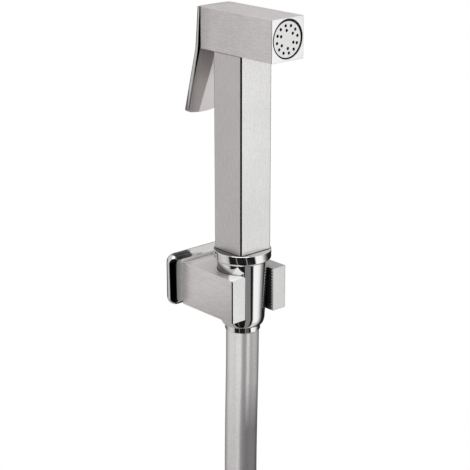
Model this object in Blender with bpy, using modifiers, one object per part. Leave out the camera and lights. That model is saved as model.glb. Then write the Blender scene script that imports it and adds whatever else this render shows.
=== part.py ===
"""Handheld bidet shower resting in its wall holder, with its hose stored in a coil.

Units are metres and +Z is up. The wall is the plane y = 0, the spray faces -Y, and the origin is
the centre of the wall plate's back face.
"""
import math

import bmesh
import bpy
from mathutils import Vector

PARTS = "handheld_bidet_shower"
CUTTERS = "cutters"

# Clearances
GAP = 0.0003  # between neighbouring pieces
SEAM = 0.0002  # joint lines that show
RUNNING = 0.00008  # lever on its pin, radial
OVER = 0.001  # how far a cutter runs past the face it opens
CLEAR = 0.00002  # how far a cutter stands off a face that it leaves alone
SAME_PLACE = 0.000001  # points closer than this are one

# Facets
ROUND_STEPS = 40
SMALL_STEPS = 20
HOLE_STEPS = 10
NUT_BORE_STEPS = 24  # a whole number for each of the hexagon's flats
ARC_STEPS = 5

# Wall plate, with the boss that carries the arm
PLATE_WIDTH = 0.0484
PLATE_HEIGHT = 0.0274
PLATE_THICKNESS = 0.0069
PLATE_CORNER = 0.0045
PLATE_BULLNOSE = 0.0033
PLATE_STEPS = 6
BOSS_LENGTH = 0.0066
WALL_SCREW_SPACING = 0.0190
WALL_SCREW_HOLE = 0.00225
WALL_SCREW_HEAD = 0.0042
COUNTERSINK_DEPTH = 0.0024

# Holder arm
ARM_WIDTH = 0.0362
ARM_HEIGHT = 0.0225
ARM_TOP_Z = 0.0095
ARM_FRONT = 0.01257  # from the socket's axis forwards
ARM_REACH = 0.0261  # from the socket's axis back to the plate
ARM_CORNER = 0.00065  # round on the upright edges
ARM_EDGE = 0.00015
ARM_WALL_SIDE = 0.0031
ARM_WALL_TOP = 0.0025
SLOT_WIDTH = 0.0191
GRUB_RADIUS = 0.0020
GRUB_LENGTH = 0.0046
GRUB_KEY = 0.0009
GRUB_EDGE = 0.0004
GRUB_DIMPLE = 0.0022

# Cone nut, which seats in the socket
NUT_TOP_Z = 0.0146
NUT_TOP_RADIUS = 0.01305
NUT_LENGTH = 0.0346
NUT_TAPER = 0.0585  # radius lost for each unit of length
NUT_ROUND_LENGTH = 0.0048
NUT_LIP = 0.00035
NUT_EDGE = 0.0002
NUT_SHOULDER = 0.0030
THREAD_RADIUS = 0.0102
THREAD_LENGTH = 0.0108

# Inlet collar
COLLAR_BOTTOM_Z = NUT_TOP_Z + SEAM
COLLAR_RADIUS = 0.01445
COLLAR_FOOT_RADIUS = 0.0132
COLLAR_FOOT_ROUND = 0.0009
COLLAR_TOP_EDGE = 0.0002
WATERWAY_RADIUS = 0.0032

# Handle
HANDLE_WIDTH = 0.0200
HANDLE_WALL = 0.0015
HANDLE_EDGE = 0.0009
HANDLE_BOTTOM_Z = 0.0200
HANDLE_LENGTH = 0.0992
SPIGOT_LENGTH = 0.0045
SPIGOT_CORNER = 0.0006

# Head
HEAD_WIDTH = 0.0204
HEAD_HEIGHT = 0.02045
HEAD_FRONT = 0.0313  # from the handle's axis forwards to the spray face
HEAD_BACK = 0.0190  # from the handle's axis back
HEAD_EDGE = 0.00025

# Spray plate
SPRAY_RECESS_RADIUS = 0.0090
SPRAY_RECESS_CHAMFER = 0.00035
SPRAY_SET_BACK = 0.0004  # plate's face behind the head's front face
SPRAY_THICKNESS = 0.0020
SPRAY_EDGE = 0.00015
SPRAY_HOLE = 0.00065
SPRAY_RINGS = ((12, 0.00658, 9.6), (6, 0.00428, 35.6))  # holes, ring radius, first angle in degrees
SPRAY_BOSS_RADIUS = 0.0019
SPRAY_BOSS_LENGTH = 0.0016
GASKET_THICKNESS = 0.0012
GASKET_WIDTH = 0.0010

# Valve, along the head's own axis
CHAMBER_RADIUS = 0.0079
SEAT_SHOULDER = 0.0236  # from the spray face back to the seat's shoulder
SEAT_THICKNESS = 0.0033
SEAT_HOLE_RADIUS = 0.0032
SEAT_LIP_HEIGHT = 0.0008
SEAT_LIP_WIDTH = 0.0008
SEAL_RADIUS = 0.0046
SEAL_THICKNESS = 0.0015
DISC_RADIUS = 0.0048
DISC_THICKNESS = 0.0016
HUB_RADIUS = 0.0019
HUB_LENGTH = 0.0022
STEM_RADIUS = 0.0015
INLET_RADIUS = 0.0055
INLET_LENGTH = 0.0122
GLAND_WALL = 0.0015
GLAND_RADIUS = 0.0036
GLAND_SLOT_WIDTH = 0.0010
GLAND_SLOT_DEPTH = 0.0011
SPRING_WIRE_RADIUS = 0.00035
SPRING_COIL_RADIUS = 0.00275
SPRING_TURNS = 6
SPRING_POINTS_PER_TURN = 10

# Lever: its inner face is two straight runs with a bend between
PIVOT_BELOW_TOP = 0.00305  # pivot below the head's top face
PIVOT_IN_HEAD = 0.0032  # pivot in front of the head's back face
PIN_RADIUS = 0.0010
PIN_LENGTH = 0.0182
LUG_WIDTH = 0.0066
LUG_RADIUS = 0.0020
LEVER_TOP_GAP = 0.00035  # between the head's back and the lever, at the top
LEVER_TOP_THICKNESS = 0.0017
LEVER_BEND_GAP = 0.00130  # between the head's back and the lever, at the bend
LEVER_BEND_THICKNESS = 0.0026
LEVER_FOOT_GAP = 0.0102  # between the plane of the head's back and the lever's lower end
LEVER_FOOT_THICKNESS = 0.0030
LEVER_LENGTH = 0.0555
LEVER_BEND_RUN = 0.0040  # length over which the bend is rounded
LEVER_CROWN = 0.0008  # swell of the outer face at the top, which runs out to nothing at the foot
LEVER_CROWN_STEPS = 6
LEVER_RELIEF = 0.0009  # widest chamfer on the inner edges, at the bend
LEVER_RELIEF_TOP = 0.00035
LEVER_RELIEF_RUN = 0.0165  # from the bend down to where the chamfer has run out
LEVER_EDGE = 0.00015
LEVER_BEND_STEPS = 4
LEVER_FOOT_CORNER = 0.0018
LEVER_FOOT_BOW = 0.0016
LEVER_FOOT_BOW_RADIUS = 0.040
LEVER_FACE_DEPTH = 0.040  # of the cutter that gives the lever its outline
LEVER_TOP_DROP = 0.0001  # lever's top edge below the head's top face
PIN_EDGE = 0.00017

# Water pipe in the handle
PIPE_RADIUS = 0.0046
PIPE_BORE = 0.0030
PIPE_IN_COLLAR = 0.0025  # how far the pipe goes below the handle's foot
PIPE_IN_HEAD = 0.0029  # how far the pipe goes above the handle's top
PIPE_GROOVE_DEPTH = 0.0011
PIPE_GROOVE_WIDTH = 0.0015
PIPE_RING_INSET = 0.0016  # from the pipe's end to the middle of its O-ring groove
O_RING_THICKNESS = 0.0009

# Hose, its crimped ends and their fittings
HOSE_DIAMETER = 0.0168
HOSE_RADIUS = HOSE_DIAMETER / 2
HOSE_LENGTH = 1.456
COIL_SAVING = 0.044  # what the real turns, which nest inside each other, are shorter than full rings
SLEEVE_RADIUS = 0.0090
SLEEVE_WALL = 0.0005
SLEEVE_WEB = 0.0006
SLEEVE_LENGTH = 0.0193
SLEEVE_EDGE = 0.0002
LINER_WALL = 0.0019
TAIL_RADIUS = 0.0060
TAIL_BORE = 0.0042
FLANGE_THICKNESS = 0.0020
WASHER_THICKNESS = 0.0015
END_NUT_FLATS = 0.0240
END_NUT_EDGE = 0.0008
END_NUT_THREAD = 0.0090

# Coil of stored hose, which hangs beside the hose in a plane parallel to the wall
COIL_RADIUS = 0.1000
COIL_TURNS = 2
COIL_PITCH = HOSE_DIAMETER + GAP
COIL_CENTRE_Z = -0.1940
COIL_FRONT_Y = -0.0324
COIL_STEPS = 44
COIL_ARC_STEPS = 5
COIL_GROOVE_ANGLE = 60  # degrees from the top of a turn to the groove between two turns
TIE_WIDTH = 0.0080
TIE_THICKNESS = 0.0010
TIE_ANGLE = math.radians(180)
ROUND_END = 0.98  # of a full half circle, so that a rounded end keeps a short flat

# Places worked out from the sizes
AXIS_Y = -(PLATE_THICKNESS + ARM_REACH)
HANDLE_TOP_Z = HANDLE_BOTTOM_Z + HANDLE_LENGTH
HEAD_BOTTOM_Z = HANDLE_TOP_Z + SEAM
HEAD_TOP_Z = HEAD_BOTTOM_Z + HEAD_HEIGHT
HEAD_FRONT_Y = AXIS_Y - HEAD_FRONT
HEAD_BACK_Y = AXIS_Y + HEAD_BACK
HEAD_LENGTH = HEAD_FRONT + HEAD_BACK
VALVE_Z = HEAD_BOTTOM_Z + HEAD_HEIGHT / 2
SPRAY_RADIUS = SPRAY_RECESS_RADIUS - GAP
SPRAY_FACE_Y = HEAD_FRONT_Y + SPRAY_SET_BACK
SPRAY_RECESS_DEPTH = SPRAY_SET_BACK + SPRAY_THICKNESS + GASKET_THICKNESS + 2 * GAP
THREAD_BORE = THREAD_RADIUS + GAP
WASHER_RADIUS = THREAD_RADIUS - GAP
PIVOT_Y = HEAD_BACK_Y - PIVOT_IN_HEAD
PIVOT_Z = HEAD_TOP_Z - PIVOT_BELOW_TOP
NUT_BOTTOM_Z = NUT_TOP_Z - NUT_LENGTH
COIL_CENTRE_X = -COIL_RADIUS
COIL_BACK_Y = COIL_FRONT_Y + (COIL_TURNS - 1) * COIL_PITCH

# Hose stations, from the cone nut's threaded end down
FLANGE_TOP_Z = COLLAR_BOTTOM_Z - THREAD_LENGTH - 2 * GAP - WASHER_THICKNESS
SHOULDER_TOP_Z = FLANGE_TOP_Z - FLANGE_THICKNESS - GAP
SHOULDER_BOTTOM_Z = SHOULDER_TOP_Z - NUT_SHOULDER
HOSE_FACE_Z = SHOULDER_BOTTOM_Z - GAP - SLEEVE_LENGTH
HOSE_START_Z = HOSE_FACE_Z - GAP
TAIL_LENGTH = FLANGE_TOP_Z - HOSE_FACE_Z

# The straight tail that hangs from the coil takes what the turns and the drop leave of the length
HOSE_DROP = HOSE_START_Z - COIL_CENTRE_Z
COIL_LENGTH = COIL_TURNS * 2 * math.pi * COIL_RADIUS - COIL_SAVING
HOSE_END_Z = COIL_CENTRE_Z - (HOSE_LENGTH - HOSE_DROP - COIL_LENGTH)
COIL_OUTER = COIL_RADIUS + HOSE_RADIUS

# The hose's own route from the crimp sleeve to the coil, leaning a little towards the wall
HOSE_ROUTE = (
    (0.0, AXIS_Y, HOSE_START_Z),
    (0.0, AXIS_Y + 0.0002, HOSE_START_Z - 0.020),
    (0.0, AXIS_Y + 0.0010, HOSE_START_Z - 0.050),
    (0.0, AXIS_Y + 0.0015, HOSE_START_Z - 0.080),
    (0.0, AXIS_Y + 0.0012, HOSE_START_Z - 0.106),
)
ROUTE_STEPS = 3

# Turns that lay a shape's local axes along the world's
UPRIGHT = (0.0, 0.0, 0.0)
FACING_FRONT = (math.radians(90), 0.0, 0.0)  # local +Z to the world's -Y
ALONG_X = (0.0, math.radians(90), 0.0)  # local +Z to the world's +X
POINTING_DOWN = (math.radians(180), 0.0, 0.0)
PLAN_YZ = (math.radians(90), 0.0, math.radians(90))  # local X, Y to the world's Y, Z
PLAN_XZ = (math.radians(90), 0.0, 0.0)  # local X, Y to the world's X, Z

MATERIALS = {
    "satin_steel": ((0.60, 0.59, 0.57, 1.0), 0.32, 1.0),
    "spray_steel": ((0.66, 0.65, 0.63, 1.0), 0.28, 1.0),
    "polished_steel": ((0.66, 0.66, 0.66, 1.0), 0.10, 1.0),
    "brass": ((0.72, 0.55, 0.25, 1.0), 0.35, 1.0),
    "spring_steel": ((0.50, 0.50, 0.50, 1.0), 0.30, 1.0),
    "black_rubber": ((0.02, 0.02, 0.02, 1.0), 0.75, 0.0),
    "hose_liner": ((0.75, 0.75, 0.72, 1.0), 0.60, 0.0),
    "hose_silver": ((0.55, 0.56, 0.57, 1.0), 0.35, 0.85),
}


# Scene set-up

def clear_scene():
    for obj in list(bpy.data.objects):
        bpy.data.objects.remove(obj, do_unlink=True)
    for name in (PARTS, CUTTERS):
        collection = bpy.data.collections.new(name)
        bpy.context.scene.collection.children.link(collection)


def make_materials():
    for name, (colour, roughness, metallic) in MATERIALS.items():
        material = bpy.data.materials.new(name)
        material.use_nodes = True
        shader = material.node_tree.nodes["Principled BSDF"]
        shader.inputs["Base Color"].default_value = colour
        shader.inputs["Roughness"].default_value = roughness
        shader.inputs["Metallic"].default_value = metallic


def add_object(name, mesh, location=(0.0, 0.0, 0.0), rotation=(0.0, 0.0, 0.0), material=None):
    """Put a mesh in the scene. One without a material is a cutter."""
    obj = bpy.data.objects.new(name, mesh)
    obj.location = location
    obj.rotation_euler = rotation
    if material:
        mesh.materials.append(bpy.data.materials[material])
        bpy.data.collections[PARTS].objects.link(obj)
    else:
        obj.hide_render = True
        obj.display_type = "WIRE"
        bpy.data.collections[CUTTERS].objects.link(obj)
    return obj


# Shape helpers

def mesh_from(bm, name):
    bmesh.ops.recalc_face_normals(bm, faces=bm.faces)
    mesh = bpy.data.meshes.new(name)
    bm.to_mesh(mesh)
    bm.free()
    return mesh


def edges_along(bm, axis):
    return [edge for edge in bm.edges if abs((edge.verts[0].co - edge.verts[1].co).normalized()[axis]) > 0.99]


def edges_at_ends(bm, axis, half):
    """Edges that lie in the two end planes, at plus and minus half along the axis."""
    def from_middle(edge):
        return abs(edge.verts[0].co[axis] + edge.verts[1].co[axis]) / 2

    return [edge for edge in bm.edges if abs(from_middle(edge) - half) < SAME_PLACE]


def bevel_edges(bm, edges, width, segments):
    bmesh.ops.bevel(bm, geom=edges, offset=width, segments=segments, profile=0.5, affect="EDGES")


def block(name, size, centre, material=None, edge=0.0, segments=2):
    """A box of the given size, with all its edges rounded by the given width."""
    bm = bmesh.new()
    bmesh.ops.create_cube(bm, size=1.0)
    bmesh.ops.scale(bm, vec=size, verts=bm.verts)
    if edge:
        bevel_edges(bm, bm.edges[:], edge, segments)
    return add_object(name, mesh_from(bm, name), centre, material=material)


def rounded_block(name, size, centre, axis, corner, rim, segments, material=None):
    """A box whose edges along one axis have a larger round than its rims."""
    bm = bmesh.new()
    bmesh.ops.create_cube(bm, size=1.0)
    bmesh.ops.scale(bm, vec=size, verts=bm.verts)
    bevel_edges(bm, edges_along(bm, axis), corner, segments)
    bevel_edges(bm, edges_at_ends(bm, axis, size[axis] / 2), rim, segments if rim > corner / 2 else 1)
    return add_object(name, mesh_from(bm, name), centre, material=material)


def cylinder(name, radius, length, centre, rotation, material=None, steps=SMALL_STEPS, edge=0.0):
    """A round bar centred on a point, its axis the local Z."""
    bm = bmesh.new()
    bmesh.ops.create_cone(bm, cap_ends=True, segments=steps, radius1=radius, radius2=radius, depth=length)
    if edge:
        bevel_edges(bm, edges_at_ends(bm, 2, length / 2), edge, 1)
    return add_object(name, mesh_from(bm, name), centre, rotation, material)


def turned(name, profile, location, rotation=(0.0, 0.0, 0.0), material=None, steps=ROUND_STEPS):
    """A profile of (radius, height) points, outer side first from the top down, turned about local Z."""
    solid_core = profile[0][0] == 0.0
    count = len(profile)
    edges = [(index, index + 1) for index in range(count - 1)]
    if not solid_core:
        edges.append((count - 1, 0))
    mesh = bpy.data.meshes.new(name)
    mesh.from_pydata([(radius, 0.0, height) for radius, height in profile], edges, [])
    obj = add_object(name, mesh, location, rotation, material)
    screw = obj.modifiers.new("turn", "SCREW")
    screw.angle = 2 * math.pi
    screw.steps = steps
    screw.render_steps = steps
    screw.use_merge_vertices = True
    screw.merge_threshold = 0.00001
    screw.use_smooth_shade = True
    return obj


def arc(centre, radii, start, end, steps=ARC_STEPS):
    """Points on an ellipse of the given radii, from one angle in degrees to another."""
    points = []
    for step in range(steps + 1):
        angle = math.radians(start + (end - start) * step / steps)
        points.append((centre[0] + radii[0] * math.cos(angle), centre[1] + radii[1] * math.sin(angle)))
    return points


def round_corners(corners, steps=ARC_STEPS):
    """A closed outline through (x, y, radius) corners, each one rounded by its radius."""
    outline = []
    count = len(corners)
    for index, (x, y, radius) in enumerate(corners):
        corner = Vector((x, y))
        if radius == 0.0:
            outline.append((x, y))
            continue
        back = (Vector(corners[index - 1][:2]) - corner).normalized()
        ahead = (Vector(corners[(index + 1) % count][:2]) - corner).normalized()
        half = back.angle(ahead) / 2
        centre = corner + (back + ahead).normalized() * radius / math.sin(half)
        start = corner + back * radius / math.tan(half) - centre
        turn = start.angle_signed(corner + ahead * radius / math.tan(half) - centre)
        for step in range(steps + 1):
            angle = -turn * step / steps
            x_part = start.x * math.cos(angle) - start.y * math.sin(angle)
            y_part = start.x * math.sin(angle) + start.y * math.cos(angle)
            outline.append((centre.x + x_part, centre.y + y_part))
    return outline


def rectangle(width, height, radius):
    x, y = width / 2, height / 2
    return round_corners([(x, y, radius), (-x, y, radius), (-x, -y, radius), (x, -y, radius)])


def mesh_from_curve(name, curve):
    """The closed mesh that a curve makes, with its caps welded on."""
    holder = bpy.data.objects.new(name, curve)
    bpy.context.scene.collection.objects.link(holder)
    evaluated = holder.evaluated_get(bpy.context.evaluated_depsgraph_get())
    mesh = bpy.data.meshes.new_from_object(evaluated)
    bpy.data.objects.remove(holder, do_unlink=True)
    bpy.data.curves.remove(curve)
    bm = bmesh.new()
    bm.from_mesh(mesh)
    bmesh.ops.remove_doubles(bm, verts=bm.verts, dist=SAME_PLACE)
    bmesh.ops.recalc_face_normals(bm, faces=bm.faces)
    bm.to_mesh(mesh)
    bm.free()
    mesh.name = name
    return mesh


def outline_solid(name, loops, depth, centre, rotation=(0.0, 0.0, 0.0), material=None):
    """Flat loops, the second one a hole, given a depth that is centred on their plane."""
    curve = bpy.data.curves.new(name, "CURVE")
    curve.dimensions = "2D"
    curve.fill_mode = "BOTH"
    curve.extrude = depth / 2
    for loop in loops:
        spline = curve.splines.new("POLY")
        spline.points.add(len(loop) - 1)
        for point, (x, y) in zip(spline.points, loop):
            point.co = (x, y, 0.0, 1.0)
        spline.use_cyclic_u = True
    return add_object(name, mesh_from_curve(name, curve), centre, rotation, material)


def loft(name, sections, centre, material):
    """A solid through closed sections, which have the same number of points."""
    bm = bmesh.new()
    rings = [[bm.verts.new(point) for point in section] for section in sections]
    for upper, lower in zip(rings, rings[1:]):
        for index in range(len(upper)):
            bm.faces.new((upper[index - 1], upper[index], lower[index], lower[index - 1]))
    bm.faces.new(rings[0])
    bm.faces.new(rings[-1])
    return add_object(name, mesh_from(bm, name), centre, material=material)


def tube(name, points, radius, material, resolution=2):
    """A round bar along points, with its ends filled."""
    curve = bpy.data.curves.new(name, "CURVE")
    curve.dimensions = "3D"
    curve.bevel_depth = radius
    curve.bevel_resolution = resolution
    curve.use_fill_caps = True
    spline = curve.splines.new("POLY")
    spline.points.add(len(points) - 1)
    for point, place in zip(spline.points, points):
        point.co = (*place, 1.0)
    curve.materials.append(bpy.data.materials[material])
    obj = bpy.data.objects.new(name, curve)
    bpy.data.collections[PARTS].objects.link(obj)
    return obj


def combine(obj, other, operation="DIFFERENCE"):
    boolean = obj.modifiers.new(other.name, "BOOLEAN")
    boolean.operation = operation
    boolean.solver = "EXACT"
    boolean.object = other


def smooth_route(points, steps):
    """Points on a smooth curve through the route's own points."""
    route = [Vector(point) for point in points]
    route = [2 * route[0] - route[1]] + route + [2 * route[-1] - route[-2]]
    smooth = []
    for before, start, end, after in zip(route, route[1:], route[2:], route[3:]):
        for step in range(steps):
            t = step / steps
            smooth.append(
                0.5 * (2 * start + (end - before) * t
                       + (2 * before - 5 * start + 4 * end - after) * t ** 2
                       + (3 * start - before - 3 * end + after) * t ** 3)
            )
    smooth.append(route[-2])
    return smooth


# Wall holder

def nut_radius(z):
    """Outer radius of the cone nut at a height."""
    return NUT_TOP_RADIUS - NUT_TAPER * (NUT_TOP_Z - z)


def boss_box():
    """Size and centre of the boss that fits the arm's pocket."""
    width = ARM_WIDTH - 2 * (ARM_WALL_SIDE + GAP)
    height = ARM_HEIGHT - 2 * (ARM_WALL_TOP + GAP)
    return width, height, ARM_TOP_Z - ARM_HEIGHT / 2


def make_wall_plate():
    size = (PLATE_WIDTH, PLATE_THICKNESS, PLATE_HEIGHT)
    centre = (0.0, -PLATE_THICKNESS / 2, 0.0)
    rounds = (PLATE_CORNER, PLATE_BULLNOSE)
    plate = rounded_block("wall_plate", size, centre, 1, *rounds, PLATE_STEPS, "satin_steel")
    width, height, middle_z = boss_box()
    depth = BOSS_LENGTH + OVER
    centre_y = -PLATE_THICKNESS + OVER - depth / 2
    combine(plate, block("boss_shape", (width, depth, height), (0.0, centre_y, middle_z)), "UNION")
    front_y = -PLATE_THICKNESS - BOSS_LENGTH
    hole_profile = [
        (0.0, OVER), (WALL_SCREW_HEAD, OVER), (WALL_SCREW_HEAD, 0.0),
        (WALL_SCREW_HOLE, -COUNTERSINK_DEPTH), (WALL_SCREW_HOLE, front_y - OVER), (0.0, front_y - OVER),
    ]
    for side in (-1, 1):
        name = "wall_screw_hole_left" if side < 0 else "wall_screw_hole_right"
        place = (side * WALL_SCREW_SPACING / 2, front_y, middle_z)
        combine(plate, turned(name, hole_profile, place, FACING_FRONT, steps=SMALL_STEPS))
    dimple_length = GRUB_DIMPLE + OVER
    dimple_z = middle_z - height / 2 - OVER + dimple_length / 2
    dimple_centre = (0.0, -PLATE_THICKNESS - BOSS_LENGTH / 2, dimple_z)
    combine(plate, cylinder("grub_dimple", GRUB_RADIUS + GAP, dimple_length, dimple_centre, UPRIGHT))


def make_holder_arm():
    front_y = AXIS_Y - ARM_FRONT
    back_y = -PLATE_THICKNESS - SEAM
    bottom_z = ARM_TOP_Z - ARM_HEIGHT
    middle_z = ARM_TOP_Z - ARM_HEIGHT / 2
    size = (ARM_WIDTH, back_y - front_y, ARM_HEIGHT)
    centre = (0.0, (front_y + back_y) / 2, middle_z)
    arm = rounded_block("holder_arm", size, centre, 2, ARM_CORNER, ARM_EDGE, 3, "satin_steel")
    slot_depth = ARM_FRONT + OVER
    slot_centre = (0.0, AXIS_Y - slot_depth / 2, middle_z)
    combine(arm, block("slot_cutter", (SLOT_WIDTH, slot_depth, ARM_HEIGHT + 2 * OVER), slot_centre))
    top, bottom = ARM_TOP_Z + OVER, bottom_z - OVER
    socket_profile = [
        (0.0, top), (nut_radius(top) + GAP, top), (nut_radius(bottom) + GAP, bottom), (0.0, bottom),
    ]
    combine(arm, turned("socket_cutter", socket_profile, (0.0, AXIS_Y, 0.0)))
    pocket_width = ARM_WIDTH - 2 * ARM_WALL_SIDE
    pocket_height = ARM_HEIGHT - 2 * ARM_WALL_TOP
    pocket_front_y = -PLATE_THICKNESS - BOSS_LENGTH - GAP
    pocket_depth = back_y + OVER - pocket_front_y
    pocket_centre = (0.0, pocket_front_y + pocket_depth / 2, middle_z)
    combine(arm, block("pocket_cutter", (pocket_width, pocket_depth, pocket_height), pocket_centre))
    hole_length = ARM_WALL_TOP + 2 * OVER
    hole_centre = (0.0, -PLATE_THICKNESS - BOSS_LENGTH / 2, bottom_z - OVER + hole_length / 2)
    combine(arm, cylinder("grub_hole", GRUB_RADIUS + SEAM, hole_length, hole_centre, UPRIGHT))


def make_grub_screw():
    bottom_z = ARM_TOP_Z - ARM_HEIGHT + GAP
    centre = (0.0, -PLATE_THICKNESS - BOSS_LENGTH / 2, bottom_z + GRUB_LENGTH / 2)
    bar = (GRUB_RADIUS, GRUB_LENGTH, centre, UPRIGHT)
    screw = cylinder("grub_screw", *bar, "polished_steel", edge=GRUB_EDGE)
    key_depth = GRUB_LENGTH / 2
    key_centre = (centre[0], centre[1], bottom_z + key_depth / 2 - OVER)
    combine(screw, cylinder("grub_key", GRUB_KEY, key_depth, key_centre, UPRIGHT, steps=6))


# Head and spray plate

def make_head():
    size = (HEAD_WIDTH, HEAD_LENGTH, HEAD_HEIGHT)
    centre = (0.0, (HEAD_FRONT_Y + HEAD_BACK_Y) / 2, VALVE_Z)
    head = block("head_housing", size, centre, "satin_steel", HEAD_EDGE)
    combine(head, spigot("head_spigot", HEAD_BOTTOM_Z, -1), "UNION")

    # Stepped bore from the spray face to the back: recess, chamber, inlet, stem hole, gland
    inlet_start = SEAT_SHOULDER
    wall_start = inlet_start + INLET_LENGTH
    gland_start = wall_start + GLAND_WALL
    stem_hole = STEM_RADIUS + GAP + SEAM
    mouth = SPRAY_RECESS_RADIUS + SPRAY_RECESS_CHAMFER
    bore = [
        (0.0, OVER), (mouth, OVER), (mouth, 0.0), (SPRAY_RECESS_RADIUS, -SPRAY_RECESS_CHAMFER),
        (SPRAY_RECESS_RADIUS, -SPRAY_RECESS_DEPTH),
        (CHAMBER_RADIUS, -SPRAY_RECESS_DEPTH), (CHAMBER_RADIUS, -inlet_start),
        (INLET_RADIUS, -inlet_start), (INLET_RADIUS, -wall_start), (stem_hole, -wall_start),
        (stem_hole, -gland_start), (GLAND_RADIUS + GAP, -gland_start),
        (GLAND_RADIUS + GAP, -HEAD_LENGTH - OVER), (0.0, -HEAD_LENGTH - OVER),
    ]
    combine(head, turned("head_bore", bore, (0.0, HEAD_FRONT_Y, VALVE_Z), FACING_FRONT))

    pipe_top = HANDLE_TOP_Z + PIPE_IN_HEAD + GAP
    bottom = HEAD_BOTTOM_Z - SPIGOT_LENGTH - OVER
    riser = [
        (0.0, VALVE_Z), (WATERWAY_RADIUS, VALVE_Z), (WATERWAY_RADIUS, pipe_top),
        (PIPE_RADIUS + GAP, pipe_top), (PIPE_RADIUS + GAP, bottom), (0.0, bottom),
    ]
    combine(head, turned("head_riser", riser, (0.0, AXIS_Y, 0.0), steps=SMALL_STEPS))

    pocket_front = PIVOT_Y - LUG_RADIUS - GAP
    pocket_depth = HEAD_BACK_Y + OVER - pocket_front
    pocket_height = 2 * (LUG_RADIUS + GAP + SEAM)
    pocket_size = (LUG_WIDTH + 2 * GAP, pocket_depth, pocket_height)
    pocket_centre = (0.0, pocket_front + pocket_depth / 2, PIVOT_Z - SEAM / 2)
    combine(head, block("lug_pocket", pocket_size, pocket_centre))
    hole_length = PIN_LENGTH + SEAM + GAP + OVER
    hole_centre = (HEAD_WIDTH / 2 + OVER - hole_length / 2, PIVOT_Y, PIVOT_Z)
    combine(head, cylinder("pin_hole", PIN_RADIUS + RUNNING, hole_length, hole_centre, ALONG_X))


def spigot(name, face_z, direction):
    """A square plug that fits the handle's bore. It leaves the given face, up (1) or down (-1)."""
    width = HANDLE_WIDTH - 2 * (HANDLE_WALL + GAP)
    depth = SPIGOT_LENGTH + OVER
    centre_z = face_z + direction * (SPIGOT_LENGTH - depth / 2)
    return outline_solid(name, [rectangle(width, width, SPIGOT_CORNER)], depth, (0.0, AXIS_Y, centre_z))


def make_spray_plate():
    edge = SPRAY_EDGE
    profile = [
        (0.0, 0.0), (SPRAY_RADIUS - edge, 0.0), (SPRAY_RADIUS, -edge), (SPRAY_RADIUS, -SPRAY_THICKNESS),
        (SPRAY_BOSS_RADIUS, -SPRAY_THICKNESS), (SPRAY_BOSS_RADIUS, -SPRAY_THICKNESS - SPRAY_BOSS_LENGTH),
        (0.0, -SPRAY_THICKNESS - SPRAY_BOSS_LENGTH),
    ]
    plate = turned("spray_plate", profile, (0.0, SPRAY_FACE_Y, VALVE_Z), FACING_FRONT, "spray_steel")
    for ring, (count, ring_radius, first) in enumerate(SPRAY_RINGS, start=1):
        for index in range(count):
            angle = math.radians(first + 360 / count * index)
            centre_x = ring_radius * math.cos(angle)
            centre_z = VALVE_Z + ring_radius * math.sin(angle)
            centre = (centre_x, SPRAY_FACE_Y + SPRAY_THICKNESS / 2, centre_z)
            name = f"spray_hole_{ring}_{index + 1}"
            length = SPRAY_THICKNESS + 2 * OVER
            combine(plate, cylinder(name, SPRAY_HOLE, length, centre, FACING_FRONT, steps=HOLE_STEPS))


def ring_profile(outer, inner, top, bottom):
    return [(outer, top), (outer, bottom), (inner, bottom), (inner, top)]


def make_spray_gasket():
    top = -SPRAY_THICKNESS - GAP
    profile = ring_profile(SPRAY_RADIUS, SPRAY_RADIUS - GASKET_WIDTH, top, top - GASKET_THICKNESS)
    turned("spray_gasket", profile, (0.0, SPRAY_FACE_Y, VALVE_Z), FACING_FRONT, "black_rubber")


# Valve

def seat_front():
    """Distance from the spray face back to the seat's front face."""
    return SEAT_SHOULDER - GAP - SEAT_THICKNESS


def disc_back():
    """Distance from the spray face back to the stem disc's back face."""
    return seat_front() - SEAT_LIP_HEIGHT - GAP - SEAL_THICKNESS - GAP


def make_valve_seat():
    front, back = -seat_front(), -(SEAT_SHOULDER - GAP)
    lip_inner = SEAT_HOLE_RADIUS + SEAM
    lip_outer = lip_inner + SEAT_LIP_WIDTH
    lip_top = front + SEAT_LIP_HEIGHT
    outer = CHAMBER_RADIUS - GAP
    profile = [
        (lip_inner, lip_top), (lip_outer, lip_top), (lip_outer, front), (outer, front), (outer, back),
        (SEAT_HOLE_RADIUS, back), (SEAT_HOLE_RADIUS, front),
    ]
    turned("valve_seat", profile, (0.0, HEAD_FRONT_Y, VALVE_Z), FACING_FRONT, "brass")


def make_valve_stem():
    disc = disc_back()
    disc_front = disc - DISC_THICKNESS
    hub_front = disc_front - HUB_LENGTH
    end = lever_inner_y(VALVE_Z) - GAP - HEAD_FRONT_Y
    profile = [
        (0.0, -hub_front), (HUB_RADIUS, -hub_front), (HUB_RADIUS, -disc_front), (DISC_RADIUS, -disc_front),
        (DISC_RADIUS, -disc), (STEM_RADIUS, -disc), (STEM_RADIUS, -end + GAP),
        (STEM_RADIUS - GAP, -end), (0.0, -end),
    ]
    turned("valve_stem", profile, (0.0, HEAD_FRONT_Y, VALVE_Z), FACING_FRONT, "brass", SMALL_STEPS)


def make_valve_seal():
    front = -(disc_back() + GAP)
    profile = ring_profile(SEAL_RADIUS, STEM_RADIUS + GAP, front, front - SEAL_THICKNESS)
    turned("valve_seal", profile, (0.0, HEAD_FRONT_Y, VALVE_Z), FACING_FRONT, "black_rubber", SMALL_STEPS)


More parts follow.
